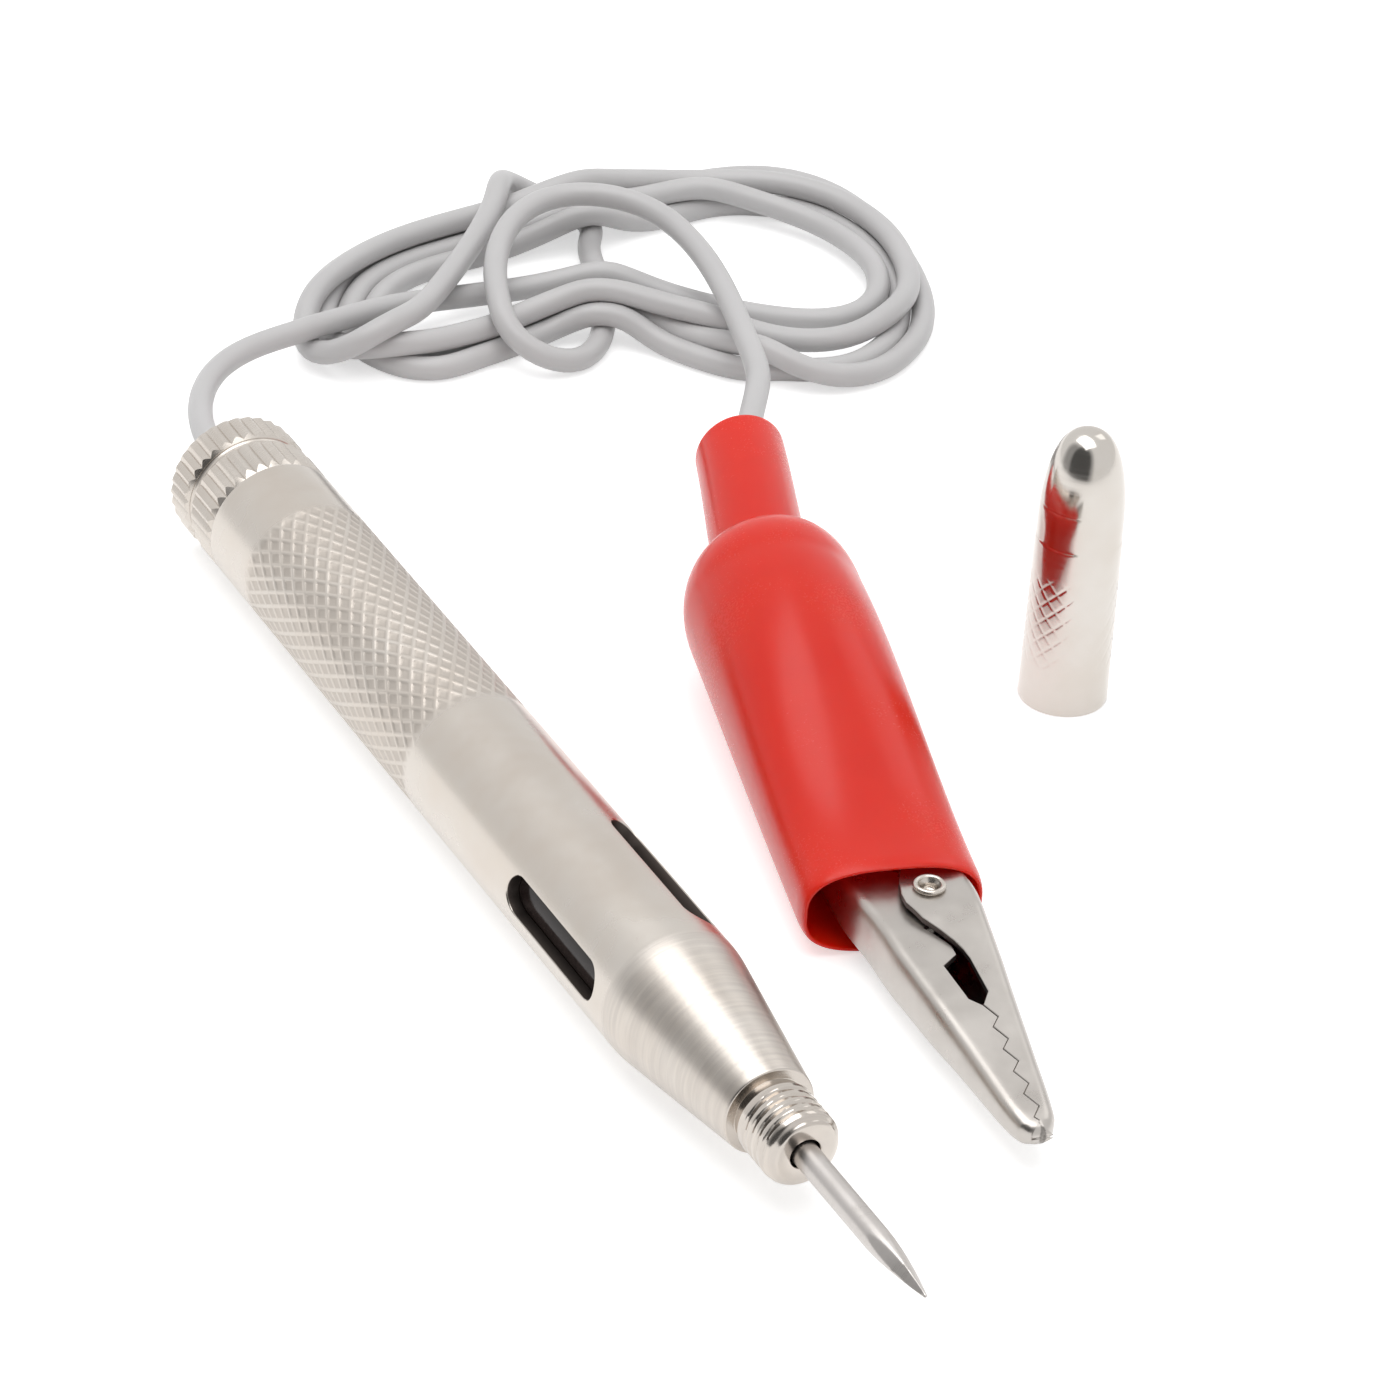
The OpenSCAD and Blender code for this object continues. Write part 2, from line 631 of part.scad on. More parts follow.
// Coil round the rivet with a leg against each handle
module clip_spring() {
    r = rivet_d / 2 + clip_spring_wire_d / 2 + 0.25;
    pitch = clip_spring_wire_d + 0.15;
    wire_r = clip_spring_wire_d / 2;
    h = pitch * clip_spring_turns;
    leg = 13;
    steps = 12;
    seat = sheet + wire_r + 0.35;
    fixed_leg = [lookup(-leg, fixed_edge) - seat, leg, h / 2];
    moving_leg = [seat - lookup(-leg, moving_edge), leg, -h / 2];
    path = concat(
        [moving_leg, (moving_leg + [-r, 0, -h / 2]) / 2],
        [for (i = [0:clip_spring_turns * steps + steps / 2]) let (a = 180 + 360 * i / steps)
            [r * cos(a), r * sin(a), -h / 2 + h * i / (clip_spring_turns * steps + steps / 2)]],
        [(fixed_leg + [r, 0, h / 2]) / 2, fixed_leg]);
    color("silver") on_jaws() tube(path, wire_r, 6);
}

// Bare wire from the crimp, soldered to the fixed handle
module clip_conductor() {
    solder_d = 1.8;
    color("peru") on_jaws() translate([crimp_x, -handle_end - 6, 0]) {
        rotate([-90, 0, 0]) cylinder(d = 0.9, h = 6.5);
        translate([lookup(-25, fixed_edge) - sheet - crimp_x - solder_d / 2 - 0.1, 1.2, 0])
            sphere(d = solder_d);
    }
}

// Section of the boot, a rounded box that turns round towards the back
function boot_section(y, x, z, a, b, n, sides = 28) = [
    for (k = [0:sides - 1])
        let (c = cos(360 * k / sides), s = sin(360 * k / sides))
        [x + a * sign(c) * pow(abs(c), 2 / n), y, z + b * sign(s) * pow(abs(s), 2 / n)]];

boot_mouth_y = 2.3;
boot_x = -2.25;
neck_start = boot_body_len + boot_shoulder_len;
boot_len = neck_start + boot_neck_len;
boot_swell = 0.3;
boot_h = 16.4;
boot_neck_z = 8.4;
boot_rise = 0.1;
function ease(v) = v * v * (3 - 2 * v);
function boot_shoulder(u) = let (f = min(max((u - boot_body_len) / boot_shoulder_len, 0), 1)) pow(1 - pow(f, 2.2), 1 / 2.2);
function boot_neck_r(u) = boot_neck_d / 2 - 0.015 * max(u - neck_start, 0);
function boot_half_w(u) = boot_neck_r(u) +
    (boot_w / 2 + boot_swell * ease(min(u / boot_body_len, 1)) - boot_neck_r(u)) * boot_shoulder(u);
function boot_half_h(u) = boot_neck_r(u) +
    (boot_mouth_h / 2 + (boot_h - boot_mouth_h) / 2 * ease(min(u / boot_body_len, 1)) - boot_neck_r(u)) * boot_shoulder(u);
function boot_mid_z(u) = boot_half_h(min(u, boot_body_len)) +
    (boot_neck_z - boot_h / 2) * ease(min(max((u - boot_body_len) / boot_shoulder_len, 0), 1)) +
    boot_rise * max(u - boot_body_len, 0);
function boot_mid_x(u) = boot_x - 0.2 * ease(min(u / 40, 1)) + 2.8 * ease(max(min((u - 40.5) / 34, 1), 0));
function boot_roundness(u) = 2.8 - 0.8 * min(u / boot_body_len, 1);
boot_stations = concat([0.3], [for (i = [1:8]) boot_body_len * i / 8],
    [for (f = [0.3, 0.55, 0.75, 0.9, 1]) boot_body_len + boot_shoulder_len * f], [boot_len - 0.6]);

module boot_skin(stations, inset) {
    loft([for (u = stations)
        let (lip = (inset == 0 && (u == 0 || u == boot_len)) ? 0.2 : 0)
        boot_section(boot_mouth_y + u, boot_mid_x(u), boot_mid_z(max(u, 0)),
            boot_half_w(max(u, 0) + inset) - inset - lip, boot_half_h(max(u, 0) + inset) - inset - lip,
            boot_roundness(max(u, 0)))]);
}

// The soft boot over the clip's handles
module clip_boot() {
    color("red") on_clip() difference() {
        boot_skin(concat([0], boot_stations, [boot_len]), 0);
        boot_skin(concat([-0.5], boot_stations, [boot_len + 0.5]), boot_wall);
    }
}

// The cord's free stretches, as points to the right of the barrel's axis,
// in front of or behind the tail's end face, and above the table
tail_route = [[0, 1, 6.5], [0.8, 8.6, 6.5], [2.5, 15, 6.2], [5, 19.5, 5.5], [8.5, 24.6, 4.8],
              [12.8, 26.9, 4.8], [17.5, 25.7, 6.1], [21.5, 26.5, 5.2]];
cross_route = [[20.5, 24, 3.4], [24.4, 21, 5], [27.4, 21.8, 6], [31, 24.4, 6.4], [34.5, 27.7, 6.8],
               [38.2, 31.5, 7.2], [42.2, 35.6, 7.2], [46.6, 40.6, 6.4], [50.9, 45.2, 5], [53.5, 46.6, 3.4]];
clip_route = [[49.5, 21, 2], [46.1, 16.9, 1.8], [42.8, 15.4, 2.4], [40.3, 15.3, 3.2], [38.6, 17.1, 4.4],
              [38.3, 20.2, 5.8], [39.1, 24, 6.8], [40.5, 27.9, 7.6], [42.6, 31.4, 8.2], [46, 35.4, 8.6],
              [49.5, 37.4, 9], [52.7, 37.8, 9.2], [55.9, 36.5, 9.4], [59.1, 33.9, 9.4], [60.8, 31.1, 9.2],
              [61.4, 26.8, 8.8], [61.3, 22, 8.4], [60.3, 16.2, 8.2], [58.7, 10.3, 8.1], [56.7, 4.4, 8.3],
              [54.4, -1.7, 8.8], [51.8, -7.4, 9.6]];
function placed(route) = [for (p = route) [tester_x + p[0], tail_y + p[1], p[2]]];

// A point given in the clip's frame, in the part's own frame
function from_clip(p) = [clip_x + p[0] * cos(clip_turn) + p[1] * sin(clip_turn),
                         clip_y - p[0] * sin(clip_turn) + p[1] * cos(clip_turn), p[2]];
function from_jaws(p) = from_clip([p[0] * cos(jaw_turn) - p[1] * sin(jaw_turn),
                                   p[0] * sin(jaw_turn) + p[1] * cos(jaw_turn), p[2] + clip_mid_z]);
neck_y = boot_mouth_y + boot_len;

module cord_tail() {
    color("gainsboro") tube(concat([[tester_x, tail_y - ferrule_start, barrel_r]], placed(tail_route)), cord_d / 2);
}

// Closed outline of the hank: middle of the bundle, as places like the cord's, and its half width
hank_line = [[22.5, 28, 3.8], [27, 21.5, 2.6], [35, 20.8, 2.8], [45, 22.3, 3], [53, 18, 3.2], [60, 10.8, 5],
             [66, 7.6, 6.2], [73, 7.6, 5.6], [79, 13.5, 4.8], [83.6, 24, 4], [83, 37, 4.4], [75, 43.6, 4.5],
             [60, 43, 4.6], [45, 42, 4], [34, 40.6, 3.6], [26.5, 35, 3.4]];
function smooth(line, i, f) = let (n = len(line), a = line[(i + n - 1) % n], b = line[i],
    c = line[(i + 1) % n], d = line[(i + 2) % n])
    0.5 * (2 * b + (c - a) * f + (2 * a - 5 * b + 4 * c - d) * f * f + (3 * b - a - 3 * c + d) * f * f * f);
function hank_side(side) = let (n = len(hank_line),
    mid = [for (i = [0:n - 1]) for (f = [0, 0.25, 0.5, 0.75]) smooth(hank_line, i, f)], m = len(mid))
    [for (i = [0:m - 1])
        let (t = unit([mid[(i + 1) % m][0] - mid[(i + m - 1) % m][0], mid[(i + 1) % m][1] - mid[(i + m - 1) % m][1]]))
        [mid[i][0] + side * t[1] * mid[i][2], mid[i][1] - side * t[0] * mid[i][2]]];

// The wound turns of the cord as one flat closed band
module cord_hank() {
    color("gainsboro") translate([tester_x, tail_y, 0]) linear_extrude(hank_h) difference() {
        polygon(hank_side(1));
        polygon(hank_side(-1));
    }
}

// The end of the cord that leaves the hank and crosses over it
module cord_cross() {
    color("gainsboro") tube(placed(cross_route), cord_d / 2);
}

// The same end once it is out from under the hank, up to the crimp in the boot
module cord_clip() {
    inside = [from_clip([boot_mid_x(boot_len) + 1.5, neck_y + 3, 11]),
              from_clip([boot_mid_x(boot_len) + 0.9, neck_y - 1, 11.2]),
              from_clip([0, neck_y - 10, 10.2]), from_clip([-0.6, neck_y - 20, 7.6]),
              from_clip([0.2, neck_y - 27, 5.4]),
              from_jaws([crimp_x, -handle_end + crimp_len + 1, 0]),
              from_jaws([crimp_x, -handle_end + 0.5, 0])];
    color("gainsboro") tube(concat(placed(clip_route), inside), cord_d / 2);
}

barrel();
tail_cap();
cord_ferrule();
tail_conductor();
insulating_washer();
contact_disc();
spring_sleeve();
contact_spring();
contact_plunger();
bulb_holder();
bulb_base();
base_insulator();
bulb_glass();
bulb_filament();
window_sleeve();
probe_needle();
needle_cap();
jaw_fixed();
jaw_moving();
clip_rivet();
clip_spring();
clip_conductor();
clip_boot();
cord_tail();
cord_hank();
cord_cross();
cord_clip();
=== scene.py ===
import math

import bmesh
import bpy
import numpy as np
from mathutils import Matrix, Vector


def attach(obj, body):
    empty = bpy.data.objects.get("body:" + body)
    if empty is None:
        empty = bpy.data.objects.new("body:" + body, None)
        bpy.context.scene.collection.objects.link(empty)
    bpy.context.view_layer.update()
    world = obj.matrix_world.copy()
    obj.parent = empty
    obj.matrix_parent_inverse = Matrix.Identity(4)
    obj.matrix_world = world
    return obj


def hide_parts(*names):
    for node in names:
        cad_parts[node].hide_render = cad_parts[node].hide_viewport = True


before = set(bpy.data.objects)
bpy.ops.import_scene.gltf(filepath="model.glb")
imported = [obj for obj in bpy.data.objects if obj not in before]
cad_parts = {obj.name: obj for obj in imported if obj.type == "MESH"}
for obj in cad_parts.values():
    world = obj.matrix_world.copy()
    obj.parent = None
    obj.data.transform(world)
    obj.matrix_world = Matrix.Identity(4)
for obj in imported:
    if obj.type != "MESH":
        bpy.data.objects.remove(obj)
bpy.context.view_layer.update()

MM = 0.001
TAU = 2 * math.pi

# Places from the part's source, in millimetres
TESTER_X = -28.575
TAIL_Y = 67.1
BARREL_R = 6.5
CORD_D = 2.4
CLIP_X, CLIP_Y, CLIP_Z = -2.225, -20.1, 4.5
CLIP_TURN = math.radians(13.9)
JAW_TURN = math.radians(4.3)
CAP_X, CAP_Y = 30.925, 12.9

# Lengths along the tester from the tail's end face
REAR_RING, RING_GROOVE, HEAD_LEN = 4.0, 0.9, 9.9
GRIP_START, GRIP_END = 17.5, 53.0
CONE_START, CONE_END, CONE_R = 91.1, 108.25, 4.1
BORE_END, NEEDLE_SEAT = 89.9, 95.4
NEEDLE_END = 134.2


# ---------------------------------------------------------------- camera
SENSOR = 36.0
FOCAL_PIXELS, PHOTO_PIXELS = 5887, 1400


def make_camera():
    data = bpy.data.cameras.new("camera")
    data.sensor_width = SENSOR
    data.lens = SENSOR * FOCAL_PIXELS / PHOTO_PIXELS
    data.clip_start, data.clip_end = 0.01, 10.0
    cam = bpy.data.objects.new("camera", data)
    bpy.context.scene.collection.objects.link(cam)
    right = Vector((0.887377, -0.457427, 0.057644)).normalized()
    forward = Vector((0.413675, 0.734755, -0.537594)).normalized()
    up = right.cross(forward)
    cam.matrix_world = Matrix.Translation(Vector((-222.642, -369.864, 288.531)) * MM) @ Matrix(
        (right, up, -forward)).transposed().to_4x4()
    bpy.context.scene.camera = cam


make_camera()


# ---------------------------------------------------------------- cord
# The route, as points to the right of the barrel's axis, behind the tail's
# end face and above the table: the first to the last turn of the hank in order
CORD_ROUTE = [
    (0, -3, 6.5), (0, 1, 6.5), (0.2, 5, 6.5), (0.8, 8.6, 6.5), (1.5, 12, 6.4), (2.5, 15, 6.2), (5, 19.5, 5.5),
    (8.5, 24.2, 4.8), (12.8, 26.7, 4.9), (17.5, 25.9, 6.1), (21.5, 26.4, 6.4), (25.8, 28, 6.0), (30, 29.6, 5.0),
    (34.2, 30.6, 3.8), (39.5, 31, 2.8), (44.6, 30.8, 2.0), (49.2, 29.8, 1.5), (53.1, 28.4, 1.2), (57, 26, 1.2),
    (60.5, 23, 1.2), (64, 19, 1.4), (67.2, 16.2, 1.8), (71, 13.8, 2.4), (75.5, 13.1, 3.0), (78.8, 15, 3.2),
    (80.8, 19.3, 3.4), (81.3, 24.5, 3.4), (80.7, 29.7, 3.4), (78.9, 33.8, 3.4), (75.4, 38.2, 3.4), (71.2, 41.2, 3.4),
    (65.5, 42, 3.4), (60, 42, 3.4), (54.5, 42.4, 3.6), (49, 42.6, 3.4), (44, 42.2, 2.4), (39, 41.8, 1.2),
    (34, 40.7, 1.2), (30.3, 38.6, 1.2), (27.6, 35.4, 1.2), (25.6, 31.4, 1.2), (24.8, 27, 1.2), (25.4, 23, 1.2),
    (27.6, 20.9, 1.2), (31.5, 20, 1.2), (37.3, 20.8, 1.2), (41.6, 22, 1.6), (45.6, 22.4, 2.6), (49.5, 21.2, 3.4),
    (53.9, 17.5, 2.4), (58.7, 9.9, 1.2), (61.1, 7.1, 1.2), (63.9, 5.3, 1.2), (67.1, 4.2, 1.2), (70.6, 4.6, 1.2),
    (74.2, 6.6, 1.2), (78.4, 10, 1.2), (81, 14.5, 1.2), (82.6, 19.5, 1.2), (83.5, 25, 1.2), (83.2, 31, 1.2),
    (81.7, 35.6, 1.2), (78.6, 38.8, 1.2), (74.4, 40.9, 1.2), (68, 40.6, 1.2), (61, 39.6, 2.0), (54.4, 39.9, 3.6),
    (49, 39.9, 2.4), (44, 39.4, 1.2), (38.6, 39.2, 1.2), (34.4, 38.6, 1.2), (31, 36.2, 1.2), (28.6, 32.6, 1.2),
    (27.6, 28.4, 1.2), (28.2, 24.9, 1.2), (31, 23.2, 1.2), (35.6, 23.3, 1.2), (40.4, 24.5, 1.4), (45.4, 25, 2.6),
    (50.2, 23.6, 3.4), (54, 19.8, 2.4), (58.4, 12.2, 1.4), (60.2, 7, 1.2), (62.2, 4.5, 1.2), (65, 2.7, 1.2),
    (68.5, 2, 1.2), (72.3, 2.9, 1.2), (75.9, 5.4, 1.2), (79.4, 9, 1.2), (81.9, 13, 1.4), (84.1, 18.9, 2.0),
    (85.8, 24.5, 2.4), (86.7, 30.4, 2.4), (86.6, 36.6, 2.2), (85.4, 40.8, 2.0), (83.2, 44.1, 1.8), (80.2, 46, 1.6),
    (75.2, 46.6, 1.4), (68, 45.6, 1.4), (61, 44.6, 2.4), (55, 44.6, 3.6), (49.6, 44.6, 2.4), (44.6, 44, 1.2),
    (41, 44.4, 1.2), (36.8, 43.5, 1.2), (33, 41.8, 1.2), (29.6, 39.4, 1.2), (26.4, 36, 1.2), (24, 31.6, 1.2),
    (22.8, 26.8, 2.0), (23.8, 22.4, 3.0), (26.5, 20.8, 3.4), (30.2, 21.5, 3.4), (34, 21.7, 3.4), (37.8, 22.5, 3.4),
    (41.9, 23.8, 3.8), (44.9, 23.9, 4.6), (49.1, 22.5, 5.6), (53.5, 19.5, 4.8), (56.9, 16.2, 3.8), (60.2, 13, 3.4),
    (63.6, 10.1, 3.4), (67.7, 8.1, 3.4), (72.4, 7.4, 3.4), (76.6, 8.9, 3.6), (79.9, 11.6, 3.6), (82.7, 17.1, 3.6),
    (84.7, 24, 3.6), (84.7, 30.5, 3.6), (82.5, 35.6, 3.6), (79.5, 39.9, 3.6), (75.5, 42.4, 3.6), (70.9, 43.6, 3.6),
    (64, 43.8, 3.6), (57, 43.8, 4.8), (51, 43.8, 5.2), (45.6, 43.6, 3.8), (40.6, 43.7, 3.6), (35, 42.5, 3.4),
    (31.9, 41.1, 3.2), (29, 39.2, 3.0), (26.6, 37, 2.8), (24.1, 34.7, 2.6), (21.6, 32, 2.4), (20, 29.2, 2.2),
    (19.4, 26.4, 2.2), (20.1, 23.7, 2.8), (21.8, 21.6, 3.8), (24.4, 20.9, 5.0), (27.4, 21.8, 6.0), (31, 24.4, 6.4),
    (34.5, 27.7, 6.6), (38.2, 31.5, 6.6), (42.2, 35.6, 6.4), (46.6, 40.6, 6.6), (50.9, 45.2, 6.0), (54.6, 48, 4.0),
    (57.6, 47.8, 2.2), (58.4, 44.8, 1.2), (57.2, 41, 1.2), (55.6, 37.3, 1.2), (54.6, 32.6, 1.2), (53.4, 28, 1.2),
    (51.4, 23.4, 1.2), (48.6, 19, 1.4), (46.1, 16.9, 1.8), (42.8, 15.4, 2.4), (40.3, 15.6, 3.2), (38.6, 17.4, 4.4),
    (38.3, 20.2, 5.8), (39.1, 24, 6.8), (40.5, 27.9, 7.4), (42.6, 31.4, 8.0), (46, 35.4, 8.6), (49.5, 37.4, 9.0),
    (52.7, 37.8, 9.2), (55.9, 36.5, 9.4), (59.1, 33.9, 9.4), (60.8, 31.1, 9.2), (61.4, 26.8, 8.8), (61.3, 22, 8.4),
    (60.3, 16.2, 8.2), (58.7, 10.3, 8.1), (56.7, 4.4, 8.3), (54.4, -1.7, 8.8), (51.8, -7.4, 9.6)]


def from_clip(p):
    """A point in the clip's frame, in the part's frame, in millimetres."""
    c, s = math.cos(CLIP_TURN), math.sin(CLIP_TURN)
    return (CLIP_X + p[0] * c + p[1] * s, CLIP_Y - p[0] * s + p[1] * c, p[2])


def from_jaws(p):
    """A point in the jaws' frame, with the rivet at its origin, in the part's frame, in millimetres."""
    c, s = math.cos(JAW_TURN), math.sin(JAW_TURN)
    return from_clip((p[0] * c - p[1] * s, p[0] * s + p[1] * c, p[2] + CLIP_Z))


def spline(points, step):
    """Points a step apart on a smooth curve through the given points."""
    p = np.array(points, float)
    p = np.vstack([2 * p[0] - p[1], p, 2 * p[-1] - p[-2]])
    out = []
    for i in range(1, len(p) - 2):
        a, b, c, d = p[i - 1:i + 3]
        for f in np.arange(0, 1, 0.05):
            out.append(0.5 * (2 * b + (c - a) * f + (2 * a - 5 * b + 4 * c - d) * f * f
                              + (3 * b - a - 3 * c + d) * f ** 3))
    out.append(p[-2])
    return resampled(np.array(out), step)


def rounded(points, step):
    """Points a step apart on a smooth curve that cuts the given corners."""
    p = np.array(points, float)
    p = np.vstack([2 * p[0] - p[1], p, 2 * p[-1] - p[-2]])
    f = np.arange(0, 1, 0.1)[None, :, None]
    a, b, c, d = (p[k:len(p) - 3 + k, None] for k in range(4))
    out = ((1 - f) ** 3 * a + (3 * f ** 3 - 6 * f * f + 4) * b + (1 + 3 * f + 3 * f * f - 3 * f ** 3) * c
           + f ** 3 * d) / 6
    return resampled(np.vstack([out.reshape(-1, 3), p[-2]]), step)


def resampled(line, step):
    lengths = np.concatenate([[0], np.cumsum(np.linalg.norm(np.diff(line, axis=0), axis=1))])
    at = np.linspace(0, lengths[-1], max(2, int(round(lengths[-1] / step)) + 1))
    return np.stack([np.interp(at, lengths, line[:, k]) for k in range(3)], axis=1)


ROUTE_STEP, CORD_STEP = 1.5, 0.9
TIGHTEST_BEND = 5.3
SETTLE_ROUNDS, BEND_ROUNDS = 160, 40


def opened_out(p, free, step):
    """The line with bends that are tighter than the cord takes opened out, and its points kept a step apart."""
    for _ in range(BEND_ROUNDS):
        curve = (p[:-2] + p[2:]) / 2 - p[1:-1]
        size = np.linalg.norm(curve, axis=1, keepdims=True) + 1e-9
        half = np.linalg.norm(p[2:] - p[:-2], axis=1, keepdims=True) / 2
        over = 0.2 * curve * np.maximum(0, 1 - half ** 2 / (2 * TIGHTEST_BEND) / size)
        between = np.diff(p, axis=0)
        long = np.linalg.norm(between, axis=1, keepdims=True) + 1e-9
        stretch = 0.25 * between * (1 - 0.975 * step / long)
        move = np.zeros_like(p)
        move[:-1] += stretch
        move[1:] -= stretch
        move[1:-1] += 2 * over
        move[:-2] -= over
        move[2:] -= over
        p = np.where(free, p + move, p)
    return p


def settled(line, diameter, held_start, held_end):
    """The cord laid down under its own weight: turns that cross are pushed apart until they only touch."""
    p, target = line.copy(), line.copy()
    n = len(p)
    index = np.arange(n)
    free = ((index >= held_start) & (index < n - held_end))[:, None]
    step = np.linalg.norm(np.diff(line, axis=0), axis=1).mean()
    near = int(math.ceil(2.2 * diameter / step))
    apart = np.abs(index[:, None] - index[None, :]) > near
    for k in range(SETTLE_ROUNDS):
        last = k > SETTLE_ROUNDS * 0.7
        move = np.zeros_like(p)
        move[1:-1] += 0.3 * ((p[:-2] + p[2:]) / 2 - p[1:-1])
        pull = (target - p) * (0.002 if last else 0.04)
        pull[:, 2] = np.where(last, 0.0, pull[:, 2] * 0.3 - 0.02)
        move += pull
        p = np.where(free, p + move, p)
        for _ in range(2):
            delta = p[:, None, :] - p[None, :, :]
            distance = np.sqrt((delta ** 2).sum(-1)) + 1e-9
            gap = np.where(apart, diameter * 1.03 - distance, 0.0)
            gap = np.where(gap > 0, gap, 0.0)
            push = (delta * (gap / distance)[..., None]).sum(1) * 0.5
            count = np.maximum((gap > 0).sum(1), 1)[:, None] ** 0.5
            p = np.where(free, p + push / count, p)
            p = opened_out(p, free, step)
            p[:, 2] = np.where(free[:, 0], np.maximum(p[:, 2], diameter / 2), p[:, 2])
    return p


BOOT_MOUTH_Y, BOOT_X = 2.3, -2.25
BOOT_LEN = 66.3
neck_y = BOOT_MOUTH_Y + BOOT_LEN
boot_end_x = BOOT_X + 2.19
crimp_x = 6.2 - (CORD_D + 0.1) / 2 - 0.6
inside = [from_clip((boot_end_x + 1.5, neck_y + 3, 11)), from_clip((boot_end_x + 0.9, neck_y - 1, 11.2)),
          from_clip((0, neck_y - 10, 10.2)), from_clip((-0.6, neck_y - 20, 7.6)),
          from_clip((0.2, neck_y - 27, 5.4)), from_jaws((crimp_x, 38, 0)), from_jaws((crimp_x, 30.5, 0))]
route = [(TESTER_X + x, TAIL_Y + y, z) for x, y, z in CORD_ROUTE] + inside
cord_line = rounded(settled(spline(route, ROUTE_STEP), CORD_D, 4, 42), CORD_STEP)


# ------------------------------------------------------------ mesh helpers
def surface(name, verts, faces, sharp=35.0, merge=True):
    """An object from points in millimetres, its faces turned outwards and smooth up to the angle."""
    data = bpy.data.meshes.new(name)
    data.from_pydata((np.asarray(verts, float) * MM).tolist(), [], [list(map(int, f)) for f in faces])
    bm = bmesh.new()
    bm.from_mesh(data)
    if merge:
        bmesh.ops.remove_doubles(bm, verts=bm.verts, dist=1e-6)
    if bm.calc_volume(signed=True) < 0:
        bmesh.ops.reverse_faces(bm, faces=bm.faces)
    finish_edges(bm, sharp)
    bm.to_mesh(data)
    bm.free()
    obj = bpy.data.objects.new(name, data)
    bpy.context.scene.collection.objects.link(obj)
    return obj


def finish_edges(bm, sharp):
    limit = math.radians(sharp)
    for face in bm.faces:
        face.smooth = True
    for edge in bm.edges:
        edge.smooth = edge.calc_face_angle(0.0) < limit


def grid_faces(rows, cols, ring=False, tall=None):
    """Faces of rows of points joined round; tall picks the diagonal that a quad is split along."""
    i = np.arange(rows if ring else rows - 1)[:, None]
    j = np.arange(cols)[None, :]
    low, high = i * cols, ((i + 1) % rows) * cols
    k = (j + 1) % cols
    a, b, c, d = low + j, low + k, high + k, high + j
    if tall is None:
        return np.stack([a, b, c, d], -1).reshape(-1, 4).tolist()
    flat = tall.reshape(-1)
    split = flat[a] + flat[c] >= flat[b] + flat[d]
    faces = []
    for quad, s in zip(np.stack([a, b, c, d], -1).reshape(-1, 4), split.reshape(-1)):
        p, q, r, t = quad
        faces += [[p, q, r], [p, r, t]] if s else [[p, q, t], [q, r, t]]
    return faces


def lathe(name, stations, radii, place, ring=True, sharp=35.0, split=False):
    """Turned piece: one row of points at each station; radii holds a row's radius at each angle."""
    stations, radii = np.asarray(stations, float), np.asarray(radii, float)
    cols = radii.shape[1]
    angle = TAU * np.arange(cols) / cols
    across, up = radii * np.cos(angle), radii * np.sin(angle)
    along = np.broadcast_to(stations if stations.ndim > 1 else stations[:, None], radii.shape)
    verts = np.stack(place(across, up, along), -1).reshape(-1, 3)
    return surface(name, verts, grid_faces(len(stations), cols, ring, radii if split else None), sharp)


def on_tester(across, up, along):
    return TESTER_X + across, TAIL_Y - along, BARREL_R + up


def on_cap(across, up, along):
    return CAP_X + across, CAP_Y + up, along


def spans(*ranges):
    """Places from each start to its end, with the step wanted."""
    out = []
    for start, end, step in ranges:
        out += list(np.linspace(start, end, max(2, int(math.ceil(abs(end - start) / step)) + 1)))
    return np.array(out)


def ease(v):
    v = np.clip(v, 0, 1)
    return v * v * (3 - 2 * v)


def boolean(obj, cutter, operation="DIFFERENCE", sharp=35.0):
    mod = obj.modifiers.new("cut", "BOOLEAN")
    mod.object, mod.operation, mod.solver = cutter, operation, "MANIFOLD"
    bpy.context.view_layer.update()
    shape = bpy.data.meshes.new_from_object(obj.evaluated_get(bpy.context.evaluated_depsgraph_get()))
    obj.modifiers.clear()
    old, obj.data = obj.data, shape
    bpy.data.meshes.remove(old)
    bpy.data.objects.remove(cutter)
    bm = bmesh.new()
    bm.from_mesh(shape)
    finish_edges(bm, sharp)
    bm.to_mesh(shape)
    bm.free()


# ------------------------------------------------------------------ barrel
BARREL_COLS = 280
KNURL_LINES = 28
KNURL_STEP = 0.254
KNURL_PITCH = KNURL_STEP * 10
KNURL_DEPTH = 0.085
THREAD_PITCH, THREAD_START, THREAD_DEPTH = 0.98, 109.4, 0.36
NECK_R, NOSE_R, FRONT_R = 3.16, 3.5, 2.35
NOSE_START, ROUND_START, NOSE_FRONT = 109.06, 113.2, 114.45
HOLE_R, NEEDLE_BORE_R, HEAD_BORE_R, BULB_BORE_R = 1.36, 1.5, 2.6, 5.3
CONE_BLEND_R, CONE_FILLET = 15, 0.17
WINDOW_CENTRE, WINDOW_LEN, WINDOW_W = 80.85, 16.3, 3.6


def knurl(turn, along, lines, pitch, width):
    """Height from 0 to 1 of the lines that cross each other round a turned piece."""
    height = 0
    for way in (1, -1):
        u = lines * turn + way * along / pitch
        off = np.abs((u + 0.5) % 1.0 - 0.5)
        height = np.maximum(height, np.clip(1 - (off / width) ** 1.5, 0, 1))
    return height


def thread_groove(along, turn):
    """Depth from 0 to 1 of the thread's groove between two flat-topped ridges."""
    phase = (along - THREAD_START) / THREAD_PITCH - turn
    return ease((np.abs((phase + 0.5) % 1.0 - 0.5) - 0.2) / 0.28)


